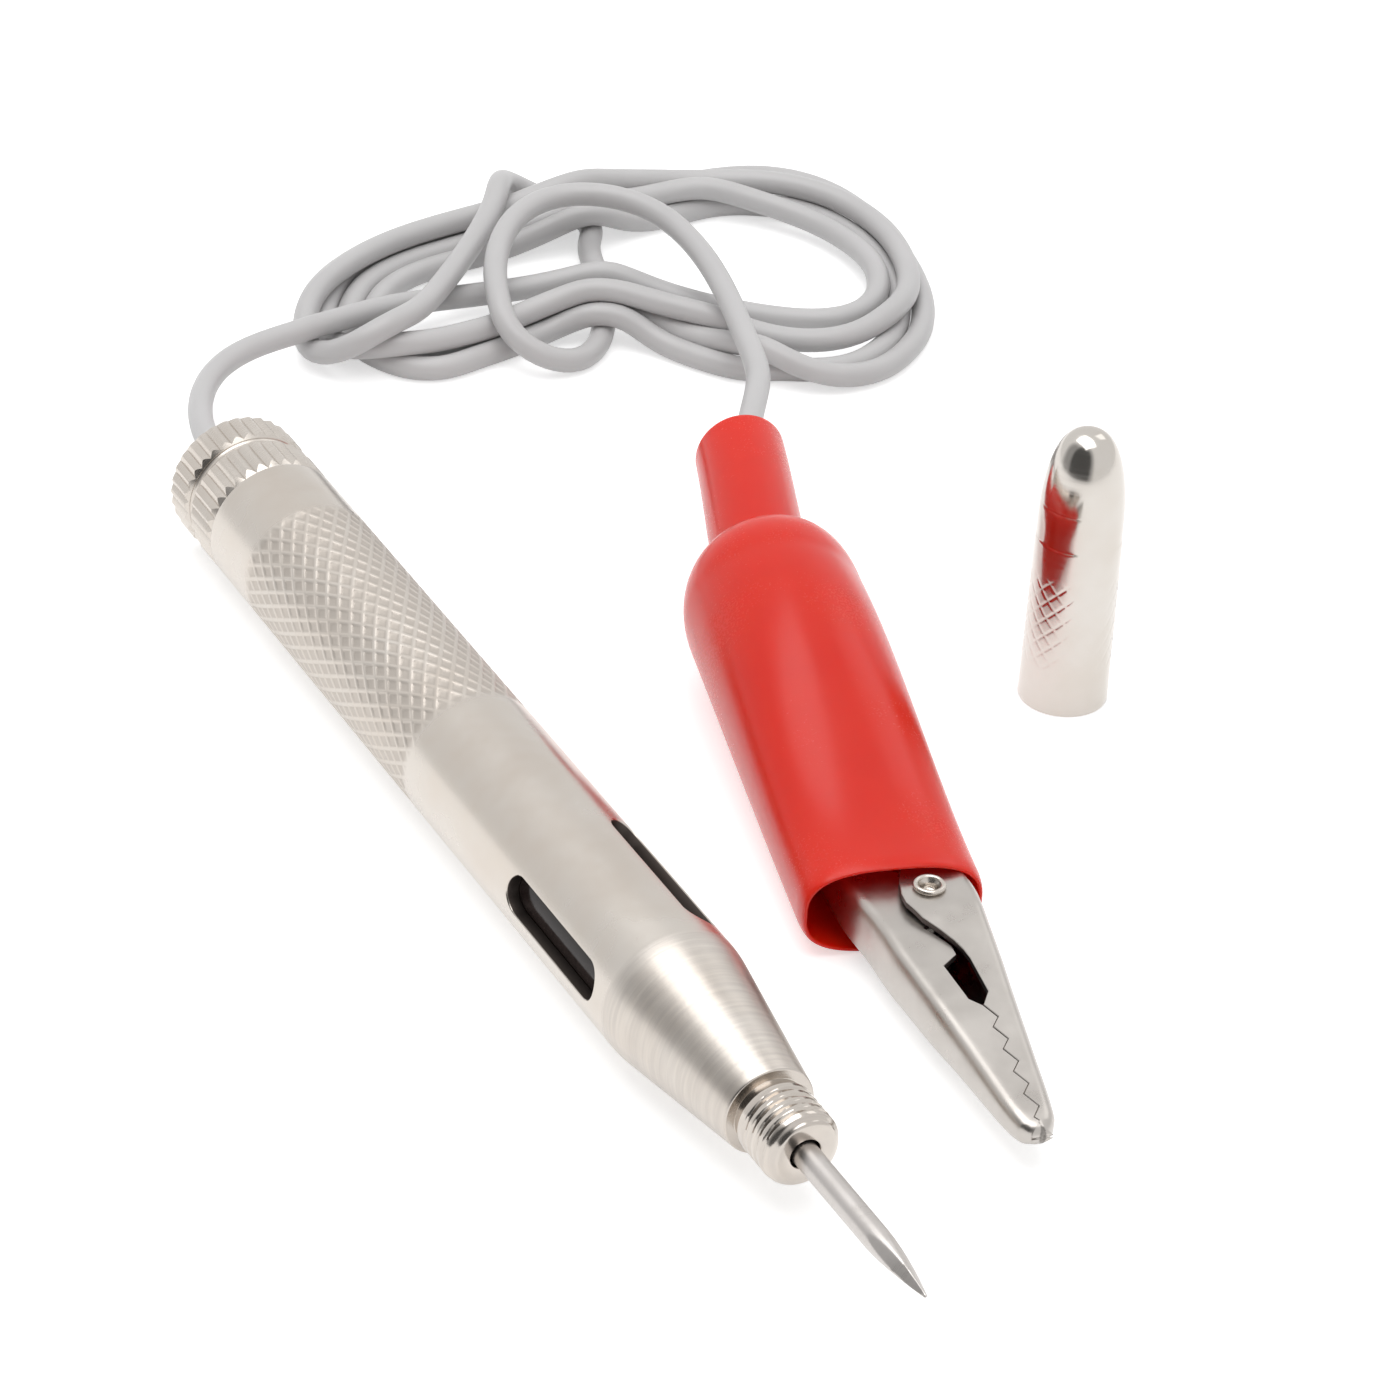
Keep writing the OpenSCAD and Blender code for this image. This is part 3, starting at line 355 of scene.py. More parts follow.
def make_barrel():
    turn = (np.arange(BARREL_COLS) / BARREL_COLS)[None, :]
    slope = math.atan((BARREL_R - CONE_R) / (CONE_END - CONE_START - 0.825))
    blend_from = CONE_START - 0.3
    rows = []

    def add(along, radius):
        along = np.atleast_1d(np.asarray(along, float))
        radius = np.asarray(radius, float)
        if radius.ndim < 2:
            radius = np.broadcast_to(np.atleast_1d(radius)[:, None], (len(along), 1))
        rows.append((along, np.broadcast_to(radius, (len(along), BARREL_COLS))))

    add([9.9, 9.92, 9.99, 10.1], [6.36, 6.44, 6.49, 6.5])
    add(spans((10.6, 17.2, 1.2)), BARREL_R)
    grip = np.arange(GRIP_START, GRIP_END + 0.01, KNURL_STEP)
    fade = ease((grip - GRIP_START) / 1.6) * ease((GRIP_END - grip) / 1.6)
    pattern = knurl(turn, (grip - GRIP_START)[:, None], KNURL_LINES, KNURL_PITCH, 0.19)
    add(grip, BARREL_R - fade[:, None] * (0.015 + KNURL_DEPTH * (1 - pattern)))
    add(spans((53.4, blend_from - 0.3, 2.4)), BARREL_R)
    bend = np.linspace(0, slope, 12)
    add(blend_from + CONE_BLEND_R * np.sin(bend), BARREL_R - CONE_BLEND_R + CONE_BLEND_R * np.cos(bend))
    cone = np.linspace(blend_from + CONE_BLEND_R * math.sin(slope), CONE_END - 0.2, 18)[1:]
    add(cone, CONE_R + (CONE_END - cone) * math.tan(slope))
    fillet = np.radians([20, 45, 70, 90])
    add(CONE_END - CONE_FILLET + CONE_FILLET * np.sin(fillet), CONE_R - CONE_FILLET + 0.19 * np.cos(fillet))
    add([CONE_END, CONE_END + 0.05, CONE_END + 0.2, NOSE_START], [3.3, 3.2, NECK_R, NECK_R])
    # The nose: a land, the thread, and a rounded front that the thread runs out over
    round_len = NOSE_FRONT - ROUND_START
    last_fine = 114.2
    turned = np.linspace(math.asin((last_fine - ROUND_START) / round_len), math.pi / 2, 7)[1:]
    nose = np.concatenate([spans((109.1, last_fine, 0.075)), ROUND_START + round_len * np.sin(turned)])
    round_off = np.clip((nose - ROUND_START) / round_len, 0, 1)
    outline = FRONT_R + (NOSE_R - FRONT_R) * np.sqrt(1 - round_off ** 2)
    outline -= (NOSE_R - NECK_R) * (1 - ease((nose - 109.08) / 0.2))
    depth = THREAD_DEPTH * ease((nose - 109.6) / 0.5) * (1 - 0.55 * ease((nose - 113.1) / 0.9))
    add(nose, outline[:, None] - depth[:, None] * thread_groove(nose[:, None], turn) * (round_off < 0.98)[:, None])
    # The hole, and the bores for the needle, its head and the bulb
    add([NOSE_FRONT + 0.01, NOSE_FRONT + 0.01, NOSE_FRONT - 0.03, NOSE_FRONT - 0.12], [2.2, 1.55, 1.42, HOLE_R])
    add([112.9], [HOLE_R])
    add([112.6, 112.3, 112.0, 104, NEEDLE_SEAT], NEEDLE_BORE_R)
    add([NEEDLE_SEAT, 92.4, BORE_END], HEAD_BORE_R)
    add([BORE_END], BULB_BORE_R)
    add(spans((88, 17.3, 6)), BULB_BORE_R)
    add([17.3, 14, 10.4, 9.9], [5.5, 5.5, 5.5, 5.7])
    along = np.concatenate([r[0] for r in rows])
    radius = np.concatenate([r[1] for r in rows])
    barrel = lathe("barrel_body", along, radius, on_tester, split=True)
    for k in range(3):
        boolean(barrel, window_cutter(math.radians(39.5 + 120 * k)), sharp=32)
    return barrel


def window_cutter(turn):
    """Rounded slot that flares where it meets the round outside, so the window's edge is broken."""
    out = np.array([math.sin(turn), math.cos(turn)])
    side = np.array([out[1], -out[0]])
    rings = []
    for reach, grow in ((4.0, 0), (6.34, 0), (6.43, 0.03), (6.5, 0.1), (6.6, 0.22), (8.5, 0.22)):
        half, straight = WINDOW_W / 2 + grow, (WINDOW_LEN - WINDOW_W) / 2
        a = np.linspace(0, math.pi, 19)
        lateral = np.concatenate([half * np.cos(a), -half * np.cos(a)])
        along = WINDOW_CENTRE + np.concatenate([straight + half * np.sin(a), -straight - half * np.sin(a)])
        depth = np.sqrt(reach ** 2 - lateral ** 2)
        across = out[0] * depth + side[0] * lateral
        up = out[1] * depth + side[1] * lateral
        rings.append(np.stack(on_tester(across, up, along), -1))
    return solid_loft("window_cutter", rings)


def solid_loft(name, rings, sharp=35.0):
    """Closed solid through rings of points, each end closed by a fan round its middle."""
    cols = len(rings[0])
    ends = [rings[0].mean(0), rings[-1].mean(0)]
    verts = np.vstack(list(rings) + [ends])
    faces = grid_faces(len(rings), cols)
    last = (len(rings) - 1) * cols
    first_end, last_end = len(verts) - 2, len(verts) - 1
    for j in range(cols):
        k = (j + 1) % cols
        faces += [[first_end, k, j], [last_end, last + j, last + k]]
    return surface(name, verts, faces, sharp)


def make_cord(line, diameter):
    """A tube round the line, each section turned as little as can be from the one before it."""
    tangent = np.gradient(line, axis=0)
    tangent /= np.linalg.norm(tangent, axis=1, keepdims=True)
    a = TAU * np.arange(22)[:, None] / 22
    side = np.cross(tangent[0], (0, 0, 1))
    rings = []
    for at, along in zip(line, tangent):
        side = side - along * np.dot(side, along)
        side /= np.linalg.norm(side)
        rings.append(at + diameter / 2 * (np.cos(a) * side + np.sin(a) * np.cross(along, side)))
    return solid_loft("cord", rings)


cord = make_cord(cord_line, CORD_D)
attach(cord, "root")
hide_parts("cord_tail", "cord_hank", "cord_cross", "cord_clip")


barrel = make_barrel()
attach(barrel, "root")
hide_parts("barrel")


# ---------------------------------------------------------------- tail cap
FLUTES = 32


def make_tail_cap():
    per = 14
    cols = FLUTES * per
    crest = np.abs((np.arange(cols) / per) % 1.0 - 0.5) * 2
    valley = 0.32 * (1 - crest) ** 1.35
    stations, radii = [], []

    def add(along, radius):
        stations.append(np.broadcast_to(np.asarray(along, float), (cols,)))
        radii.append(np.broadcast_to(np.asarray(radius, float), (cols,)))

    def add_ring(start, end, rear, front):
        """A fluted ring; the chamfer at an edge, as (length, depth), cuts each rib to a pointed facet."""
        low = start + rear[0] * (1 - valley / rear[1])
        high = end - front[0] * (1 - valley / front[1])
        for share in (0, 0.5):
            add(start + share * (low - start), BARREL_R - rear[1] + share * (rear[1] - valley))
        for share in (0, 0.02, 0.3, 0.7, 0.98, 1):
            add(low + share * (high - low), BARREL_R - valley)
        for share in (0.5, 1):
            add(high + share * (end - high), BARREL_R - valley - share * (front[1] - valley))

    for along, radius in ((5.5, 1.3), (2, 1.3), (0.25, 1.32), (0.08, 1.4), (0, 1.6), (0, 4.0)):
        add(along, radius)
    add_ring(0, REAR_RING, (0.6, 0.6), (0.42, 0.4))
    # The round groove between the rings
    for share in np.linspace(0, math.pi, 13):
        add(REAR_RING + RING_GROOVE / 2 * (1 - 0.98 * math.cos(share)), 6.08 - 0.2 * math.sin(share) ** 0.8)
    add_ring(REAR_RING + RING_GROOVE, HEAD_LEN, (0.42, 0.4), (1.0, 0.42))
    for along, radius in ((9.9, 5.6), (9.95, 5.45), (16.2, 5.45), (16.4, 5.3), (16.4, 3.7), (16.2, 3.6),
                          (5.5, 3.6)):
        add(along, radius)
    return lathe("tail_cap_turned", np.stack(stations), np.stack(radii), on_tester, sharp=14)


tail_cap = make_tail_cap()
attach(tail_cap, "tail_cap")
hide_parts("tail_cap")


# ------------------------------------------------------------------ needle
def make_needle():
    cols = 64
    angle = TAU * np.arange(cols) / cols
    rows = [(92.39, 0.0), (92.4, 2.35), (92.55, 2.5), (95.25, 2.5), (95.4, 2.35), (95.4, 1.45), (112.2, 1.45),
            (112.4, 1.15), (113.8, 1.15)]
    along = [r[0] for r in rows]
    radius = [np.full(cols, r[1]) for r in rows]
    for s in spans((114.6, 125.0, 1.3)):
        along.append(s)
        radius.append(np.full(cols, 1.15))
    # The ground point: four slightly rounded flats that run out into the shank
    for s in spans((125.4, NEEDLE_END - 0.32, 0.22)):
        v = (s - 125.2) / (NEEDLE_END - 0.3 - 125.2)
        flat = 1.2 * (1 - v ** 1.35) + 0.17 * v ** 1.35
        off = (angle - math.radians(52) + math.pi / 4) % (math.pi / 2) - math.pi / 4
        facet = flat / np.cos(off * 0.93)
        limit = 1.15 * (1 - v ** 2.2) + 0.2 * v ** 2.2
        along.append(s)
        radius.append(np.minimum(facet, limit))
    for a in np.linspace(0.2, 1, 5):
        along.append(NEEDLE_END - 0.32 + 0.32 * math.sin(a * math.pi / 2))
        radius.append(radius[-1] * 0 + 0.19 * math.cos(a * math.pi / 2))
    return lathe("needle_ground", along, np.stack(radius), on_tester, ring=False, sharp=30)


needle = make_needle()
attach(needle, "root")
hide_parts("probe_needle")


# -------------------------------------------------------------- needle cap
CAP_LINES, CAP_PITCH, CAP_LINE_DEPTH = 15, 1.8, 0.04
CAP_COLS = 210
DOME_START, DOME_LEN = 18.7, 9.2


def make_needle_cap():
    turn = np.arange(CAP_COLS) / CAP_COLS
    z, rows = [], []

    def add(height, radius):
        z.append(height)
        rows.append(np.broadcast_to(np.asarray(radius, float), (CAP_COLS,)))

    add(26.55, 0.0)
    for h, r in ((26.5, 1.6), (15, 1.6), (6.65, 1.6), (6.6, 1.7)):
        add(h, r)
    for h in np.arange(6.5, 0.35, -0.1):
        crest = 0.5 + 0.5 * np.cos(TAU * (h / THREAD_PITCH - turn))
        add(h, 3.55 - THREAD_DEPTH * crest * float(ease((h - 0.4) / 0.6) * ease((6.55 - h) / 0.4)))
    for h, r in ((0.3, 3.56), (0.05, 3.66), (0.0, 3.75), (0.0, 4.0), (0.04, 4.09), (0.15, 4.15)):
        add(h, r)

    def taper(h):
        return 4.15 - 0.165 * (h - 0.15) / 16.85

    for h in (0.6, 2.0, 3.2, 4.2):
        add(h, taper(h))
    for h in np.arange(4.4, 14.01, CAP_PITCH / 16):
        fade = float(ease((h - 4.3) / 0.6) * ease((14.1 - h) / 0.9))
        add(h, taper(h) - CAP_LINE_DEPTH * fade * knurl(turn, h, CAP_LINES, CAP_PITCH, 0.12))
    for h in (14.3, 15.6, 16.8):
        add(h, taper(h))
    for h, r in ((16.95, 3.983), (17.03, 3.975), (17.14, 3.948), (17.25, 3.936), (17.5, 3.93), (18, 3.927),
                 (18.4, 3.925)):
        add(h, r)
    marks = np.degrees(np.arcsin((np.array([20.68, 20.76, 20.82, 20.9]) - DOME_START) / DOME_LEN))
    for a in sorted(list(np.linspace(0, 84, 25)) + [87, 88.7, 89.6] + list(marks)):
        h = DOME_START + DOME_LEN * math.sin(math.radians(a))
        line = 0.012 * max(0.0, 1 - abs(h - 20.79) / 0.1)
        add(h, 3.925 * math.cos(math.radians(a)) ** 0.72 - line)
    add(DOME_START + DOME_LEN, 0.0)
    return lathe("needle_cap_turned", z, np.stack(rows), on_cap, ring=False, sharp=35)


needle_cap = make_needle_cap()
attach(needle_cap, "root")
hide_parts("needle_cap")


# -------------------------------------------------------------------- boot
BOOT_BODY, BOOT_SHOULDER = 41.5, 6.8
BOOT_WALL = 0.54


def boot_form(u):
    """Middle, half width, half height and roundness of the boot at a distance behind its mouth."""
    u = np.asarray(u, float)
    body = ease(u / BOOT_BODY)
    fall = np.clip((u - BOOT_BODY) / BOOT_SHOULDER, 0, 1)
    shoulder = (1 - fall ** 2.2) ** (1 / 2.2)
    neck = 4.55 - 0.015 * np.maximum(u - BOOT_BODY - BOOT_SHOULDER, 0)
    half_w = neck + (8.1 + 0.3 * body - neck) * shoulder
    half_h = neck + (4.5 + 3.7 * body - neck) * shoulder
    mid_z = 4.5 + 3.7 * body + 0.2 * ease(fall) + 0.1 * np.maximum(u - BOOT_BODY, 0)
    mid_x = BOOT_X - 0.2 * ease(u / 40) + 2.8 * ease((u - 40.5) / 34)
    return mid_x, mid_z, half_w, half_h, 2.8 - 0.8 * np.clip(u / BOOT_BODY, 0, 1)


def make_boot():
    cols = 160
    lip = 0.16
    turn = np.linspace(-math.pi / 2, math.pi / 2, 9)
    round_end = np.sin(np.linspace(0, math.pi / 2, 20)[1:-1]) ** (2 / 2.2)
    stations = np.concatenate([
        spans((lip + 0.1, 2.2, 0.22), (2.6, BOOT_BODY, 0.8)), BOOT_BODY + BOOT_SHOULDER * round_end,
        [BOOT_BODY + BOOT_SHOULDER + 0.12, BOOT_BODY + BOOT_SHOULDER + 0.4],
        spans((BOOT_BODY + BOOT_SHOULDER + 1.2, BOOT_LEN - 0.6, 0.8))])
    curl = 0.22 * np.clip(1 - stations / 1.8, 0, 1) ** 2
    # Each row: place behind the mouth, how far it lies inside the outer skin, and whether it is the inner skin
    rows = [(lip - lip * math.cos(t), 0.38 - lip * math.sin(t), 0) for t in turn]
    rows += [(u, c, 0) for u, c in zip(stations, curl)]
    end = BOOT_WALL / 2
    rows += [(BOOT_LEN - end + end * math.cos(t), end + end * math.sin(t), 0) for t in turn]
    rows += [(u, BOOT_WALL, 1) for u in stations[::-1][::2]]
    u, inset, within = (np.array(v) for v in zip(*rows))
    mid_x, mid_z, half_w, half_h, n = (v[:, None] for v in boot_form(u))
    shifted = boot_form(u + BOOT_WALL * within)
    half_w, half_h = shifted[2][:, None], shifted[3][:, None]
    a = TAU * np.arange(cols)[None, :] / cols
    c, s = np.cos(a), np.sin(a)
    x = mid_x + (half_w - inset[:, None]) * np.sign(c) * np.abs(c) ** (2 / n)
    z = mid_z + (half_h - inset[:, None]) * np.sign(s) * np.abs(s) ** (2 / n)
    y = np.broadcast_to(BOOT_MOUTH_Y + u[:, None], x.shape)
    wx, wy, wz = from_clip((x, y, z))
    return surface("boot_moulded", np.stack([wx, wy, wz], -1).reshape(-1, 3),
                   grid_faces(len(u), cols, ring=True), sharp=60)


boot = make_boot()
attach(boot, "root")
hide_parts("clip_boot")


# -------------------------------------------------------------------- jaws
SHEET = 0.6
JAW_TIP, HANDLE_END = 30.7, -30.0
JAW_BACK = 1.3
FIXED_EDGE = ((-30, 6.2), (-15, 5.6), (-3, 4.5), (1, 4.45), (4, 4.1), (9.5, 3.5), (14, 2.9), (19, 2.25), (26.7, 1.25),
              (29, 0.85), (29.8, 0.45), (30.4, -0.1), (30.7, -0.45))
FIXED_HALF = ((-30, 2.3), (-6, 3.1), (-2, 3.2), (-0.5, 3.55), (3, 3.6), (9.5, 2.85), (14, 2.45), (28.7, 1.35),
              (29.8, 1.15), (30.4, 0.85), (30.7, 0.55))
MOVING_EDGE = ((-30, 6.3), (-15, 6.6), (-3, 6.6), (1.5, 6), (7, 5.7), (14, 4.9), (19, 4.2), (26.7, 3.3),
               (28.7, 2.95), (29.8, 2.6), (30.4, 2), (30.7, 1.6))
MOVING_HALF = ((-30, 1.8), (-6, 2.4), (-3, 2.5), (4.5, 2.7), (9.5, 2.5), (14, 2.35), (28.7, 1.35), (29.8, 1.15),
               (30.4, 0.85), (30.7, 0.55))
JAW_MID = ((9.5, 0), (28.7, -0.3), (30.7, -0.3))
TOOTH_START, TOOTH_PITCH, TOOTH_DEPTH, TOOTH_COUNT = 15.4, 2.8, 0.8, 5
JAW_GAP = 0.03


def table(t, rows, soften=0.0):
    rows = np.array(rows, float)
    order = np.argsort(rows[:, 0])
    rows = rows[order]
    if not soften:
        return np.interp(t, rows[:, 0], rows[:, 1])
    return sum(np.interp(t + k * soften, rows[:, 0], rows[:, 1]) for k in (-1, -0.5, 0, 0.5, 1)) / 5


def tooth_points():
    points = []
    for i in range(TOOTH_COUNT):
        t = TOOTH_START + i * TOOTH_PITCH
        points += [(t, -1), (t + 0.6 * TOOTH_PITCH, 1)]
    points.append((TOOTH_START + TOOTH_COUNT * TOOTH_PITCH, -1))
    line = [(t, -0.2 - 0.043 * (t - TOOTH_START) + way * TOOTH_DEPTH / 2) for t, way in points]
    return line + [(29.9, -0.823), (30.7, -0.858), (31, -0.87)]


def ear_arc(first, last, n):
    a = np.radians(np.linspace(first, last, n))
    return [(-2.75 * math.sin(v), 2.75 * math.cos(v)) for v in a]


def fixed_free():
    """The fixed jaw's free edge as (distance towards the tip, place to the right)."""
    gap = [(13.8, 0.4), (9.7, 0.3), (8.5, 0.1)]
    ear = [(7.3, -0.3), (5.8, -1.0), (4, -2.0), (1.6, -2.65), (0.2, -2.6), (-1.5, -2.2), (-3, -1.6), (-5, -0.8)]
    handle = [(-8, table(-8, FIXED_EDGE) - 3.2), (-30, table(-30, FIXED_EDGE) - 3.2)]
    teeth = [(t, x + JAW_GAP / 2 + 0.3 * max(0, t - 29.9)) for t, x in tooth_points()]
    return teeth + gap + ear + handle


def moving_free():
    gap = [(14.4, -1.5), (9.7, -2.05), (8.5, -0.5)]
    ear = [(7.3, -0.5), (5.8, -1.2), (4.4, -2)]
    handle = [(-8, 2 - table(-8, MOVING_EDGE)), (-30, 2 - table(-30, MOVING_EDGE))]
    teeth = [(t, x - JAW_GAP / 2) for t, x in tooth_points()]
    return teeth + gap + ear + ear_arc(-120, 120, 25) + handle


def jaw_stations(free):
    corners = [t for t, _ in free if HANDLE_END < t < JAW_TIP]
    base = spans((-29.9, -6, 1.2), (-5.5, 7, 0.35), (7.2, 29.6, 0.25), (29.7, 30.2, 0.1))
    return np.unique(np.round(np.concatenate([base, corners]), 3))


def jaw_ring(edge_x, half, free_x, inset):
    """Section across a jaw: the upper plate, the round back and the lower plate, closed at the free side."""
    back = JAW_BACK - inset
    out = edge_x - inset
    h = half - inset
    a = np.linspace(math.pi / 2, -math.pi / 2, 25)
    c, s = np.cos(a), np.sin(a)
    arc = np.stack([out - back + back * np.abs(c) ** (2 / 2.7), h * np.sign(s) * np.abs(s) ** (2 / 2.7)], -1)
    worn = 0.06 if not inset else 0.0
    start = np.array([free_x + worn, h])
    upper = start + np.linspace(0, 1, 7)[:-1, None] * (arc[0] - start)
    if worn:
        upper = np.vstack([[free_x, h - worn], upper])
    return np.vstack([upper, arc, upper[::-1] * (1, -1)])


def make_jaw(name, side, edge, half, free):
    stations = jaw_stations(free)
    rings, hollow = [], []
    blunt = 0.45
    ends = JAW_TIP - blunt + blunt * np.sin(np.radians([10, 25, 40, 55, 68, 80, 87]))
    for t in [HANDLE_END] + list(stations[stations < JAW_TIP - blunt]) + list(ends):
        x1 = side * (table(t, edge, 0.5) if t < 28.9 else table(t, edge, 0.12))
        h = float(table(t, half, 0.5 if t < 28.9 else 0.12))
        x0 = float(table(t, free))
        q = math.sqrt(max(0.0, 1 - max(0.0, (t - JAW_TIP + blunt) / blunt) ** 2))
        middle = x0 + 0.35 * (x1 - x0)
        x0, x1, h = middle + (x0 - middle) * (0.25 + 0.75 * q), middle + (x1 - middle) * q, h * (0.15 + 0.85 * q)
        line = jaw_ring(side * x1, h, side * x0, 0)
        rings.append(np.stack([side * line[:, 0], np.full(len(line), -t), line[:, 1] + table(t, JAW_MID)], -1))
    for t in [HANDLE_END - 1] + list(stations[stations < 29.7]):
        x1 = side * table(t, edge, 0.5)
        h = float(table(t, half, 0.5))
        x0 = float(table(t, free))
        inner = jaw_ring(side * x1, h, side * x0, SHEET)
        flare = np.array([[side * x0 - 2.0, h - SHEET + 0.1], [side * x0 - 0.02, h - SHEET + 0.08],
                          [side * x0 + 0.1, h - SHEET]])
        line = np.vstack([flare, inner[1:-1], flare[::-1] * (1, -1)])
        hollow.append(np.stack([side * line[:, 0], np.full(len(line), -t), line[:, 1] + table(t, JAW_MID)], -1))
    obj = solid_loft(name, [np.stack(from_jaws(r.T), -1) for r in rings])
    cutter = solid_loft("hollow", [np.stack(from_jaws(r.T), -1) for r in hollow])
    boolean(obj, cutter)
    boolean(obj, rivet_cutter(), sharp=28)
    # The sheet's cut edge along the free side takes the second finish, painted dark as painted shade
    c, s = math.cos(CLIP_TURN - JAW_TURN), math.sin(CLIP_TURN - JAW_TURN)
    for face in obj.data.polygons:
        turned = face.normal.x * c - face.normal.y * s
        face.material_index = int(abs(face.normal.z) < 0.3 and turned * side < -0.25)
    return obj


def rivet_cutter():
    a = TAU * np.arange(48) / 48
    rings = [np.stack(from_jaws((1.05 * np.cos(a), 1.05 * np.sin(a), np.full(48, z))), -1) for z in (-5, 5)]
    return solid_loft("hole", rings)


jaw_fixed = make_jaw("jaw_fixed_pressed", 1, FIXED_EDGE, FIXED_HALF, fixed_free())
jaw_moving = make_jaw("jaw_moving_pressed", -1, MOVING_EDGE, MOVING_HALF, moving_free())
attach(jaw_fixed, "root")
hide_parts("jaw_fixed")
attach(jaw_moving, "moving_jaw")
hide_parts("jaw_moving")


def make_rivet():
    cols = 64
    half = 3.557
    roll = np.linspace(-0.35 * math.pi, math.pi, 13)
    head = [(half - 0.5, 0.0), (half - 0.5, 0.5), (half - 0.42, 0.64), (half - 0.2, 0.7), (half + 0.12, 0.78)]
    head += [(half + 0.24 + 0.25 * math.sin(v), 1.2 + 0.25 * math.cos(v)) for v in roll[::-1]]
    head += [(half + 0.03, 1.3), (half + 0.03, 1.0)]
    rows = head + [(-z, r) for z, r in reversed(head)]
    radius = np.repeat(np.array([r[1] for r in rows])[:, None], cols, 1)

    def place(across, up, along):
        return from_jaws((across, up, along))
    return lathe("rivet_rolled", np.array([r[0] for r in rows]), radius, place, ring=False, sharp=50)


rivet = make_rivet()
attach(rivet, "root")
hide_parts("clip_rivet")


# --------------------------------------------------------------- materials
def node(tree, kind, props=None, **values):
    """A shader node; a value is a constant or another node's socket."""
    made = tree.nodes.new("ShaderNode" + kind)
    for key, value in (props or {}).items():
        setattr(made, key, value)
    for key, value in values.items():
        numbered = key[0] == "i" and key[1:].isdigit()
        socket = made.inputs[int(key[1:]) if numbered else key.replace("_", " ")]
        if isinstance(value, bpy.types.NodeSocket):
            tree.links.new(value, socket)
        else:
            socket.default_value = value
    return made


def material(name, **values):
    mat = bpy.data.materials.new(name)
    mat.use_nodes = True
    tree = mat.node_tree
    shader = tree.nodes["Principled BSDF"]
    for key, value in values.items():
        shader.inputs[key.replace("_", " ")].default_value = value
    return mat, tree, shader


def place_of(tree, scale=(1, 1, 1)):
    coords = node(tree, "TexCoord").outputs["Object"]
    return node(tree, "Mapping", Vector=coords, Scale=scale).outputs[0]


def noise(tree, vector, scale, detail=3.0, rough=0.5):
    return node(tree, "TexNoise", Vector=vector, Scale=scale, Detail=detail, Roughness=rough).outputs["Fac"]


def spread(tree, value, low, high, start=0.0, end=1.0):
    return node(tree, "MapRange", Value=value, From_Min=start, From_Max=end, To_Min=low, To_Max=high).outputs[0]


def tint(tree, value, *stops):
    ramp = node(tree, "ValToRGB", Fac=value)
    elements = ramp.color_ramp.elements
    while len(elements) < len(stops):
        elements.new(0.5)
    for element, (at, colour) in zip(elements, stops):
        element.position = at
        element.color = (*colour, 1)
    return ramp.outputs[0]


def bump(tree, height, distance, strength=1.0, normal=None):
    made = node(tree, "Bump", Height=height, Distance=distance, Strength=strength)
    if normal is not None:
        tree.links.new(normal, made.inputs["Normal"])
    return made.outputs[0]


def math_of(tree, operation, *values):
    return node(tree, "Math", {"operation": operation}, **{"i%d" % k: v for k, v in enumerate(values)}).outputs[0]


def metal(name, cold, warm, rough, marks=(60, 9000, 60), mark_depth=0.0000012, patch=140, grain=0.0):
    """Plated or bare metal: colour patches, turning or rolling marks and a broken-up gloss."""
    mat, tree, shader = material(name, Metallic=1.0)
    fine = noise(tree, place_of(tree, marks), 1.0, 4.0, 0.6)
    patches = noise(tree, place_of(tree), patch, 3.0, 0.6)
    speck = noise(tree, place_of(tree), 2600, 2.0, 0.7)
    tree.links.new(tint(tree, patches, (0.3, warm), (0.7, cold)), shader.inputs["Base Color"])
    gloss = math_of(tree, "ADD", spread(tree, patches, rough * 0.85, rough * 1.2, 0.3, 0.7),
                    spread(tree, fine, -0.03, 0.05, 0.3, 0.7))
    tree.links.new(gloss, shader.inputs["Roughness"])
    normal = bump(tree, fine, mark_depth)
    if grain:
        normal = bump(tree, speck, grain, normal=normal)
    tree.links.new(normal, shader.inputs["Normal"])
    return mat


def dress(obj, *finishes):
    """Gives a piece its finishes; each face keeps the number of the one that it takes."""
    which = [face.material_index for face in obj.data.polygons]
    obj.data.materials.clear()
    for finish in finishes:
        obj.data.materials.append(finish)
    for face, index in zip(obj.data.polygons, which):
        face.material_index = index


def both(tree, *values):
    """All the given masks at once."""
    out = values[0]
    for value in values[1:]:
        out = math_of(tree, "MULTIPLY", out, value)
    return out


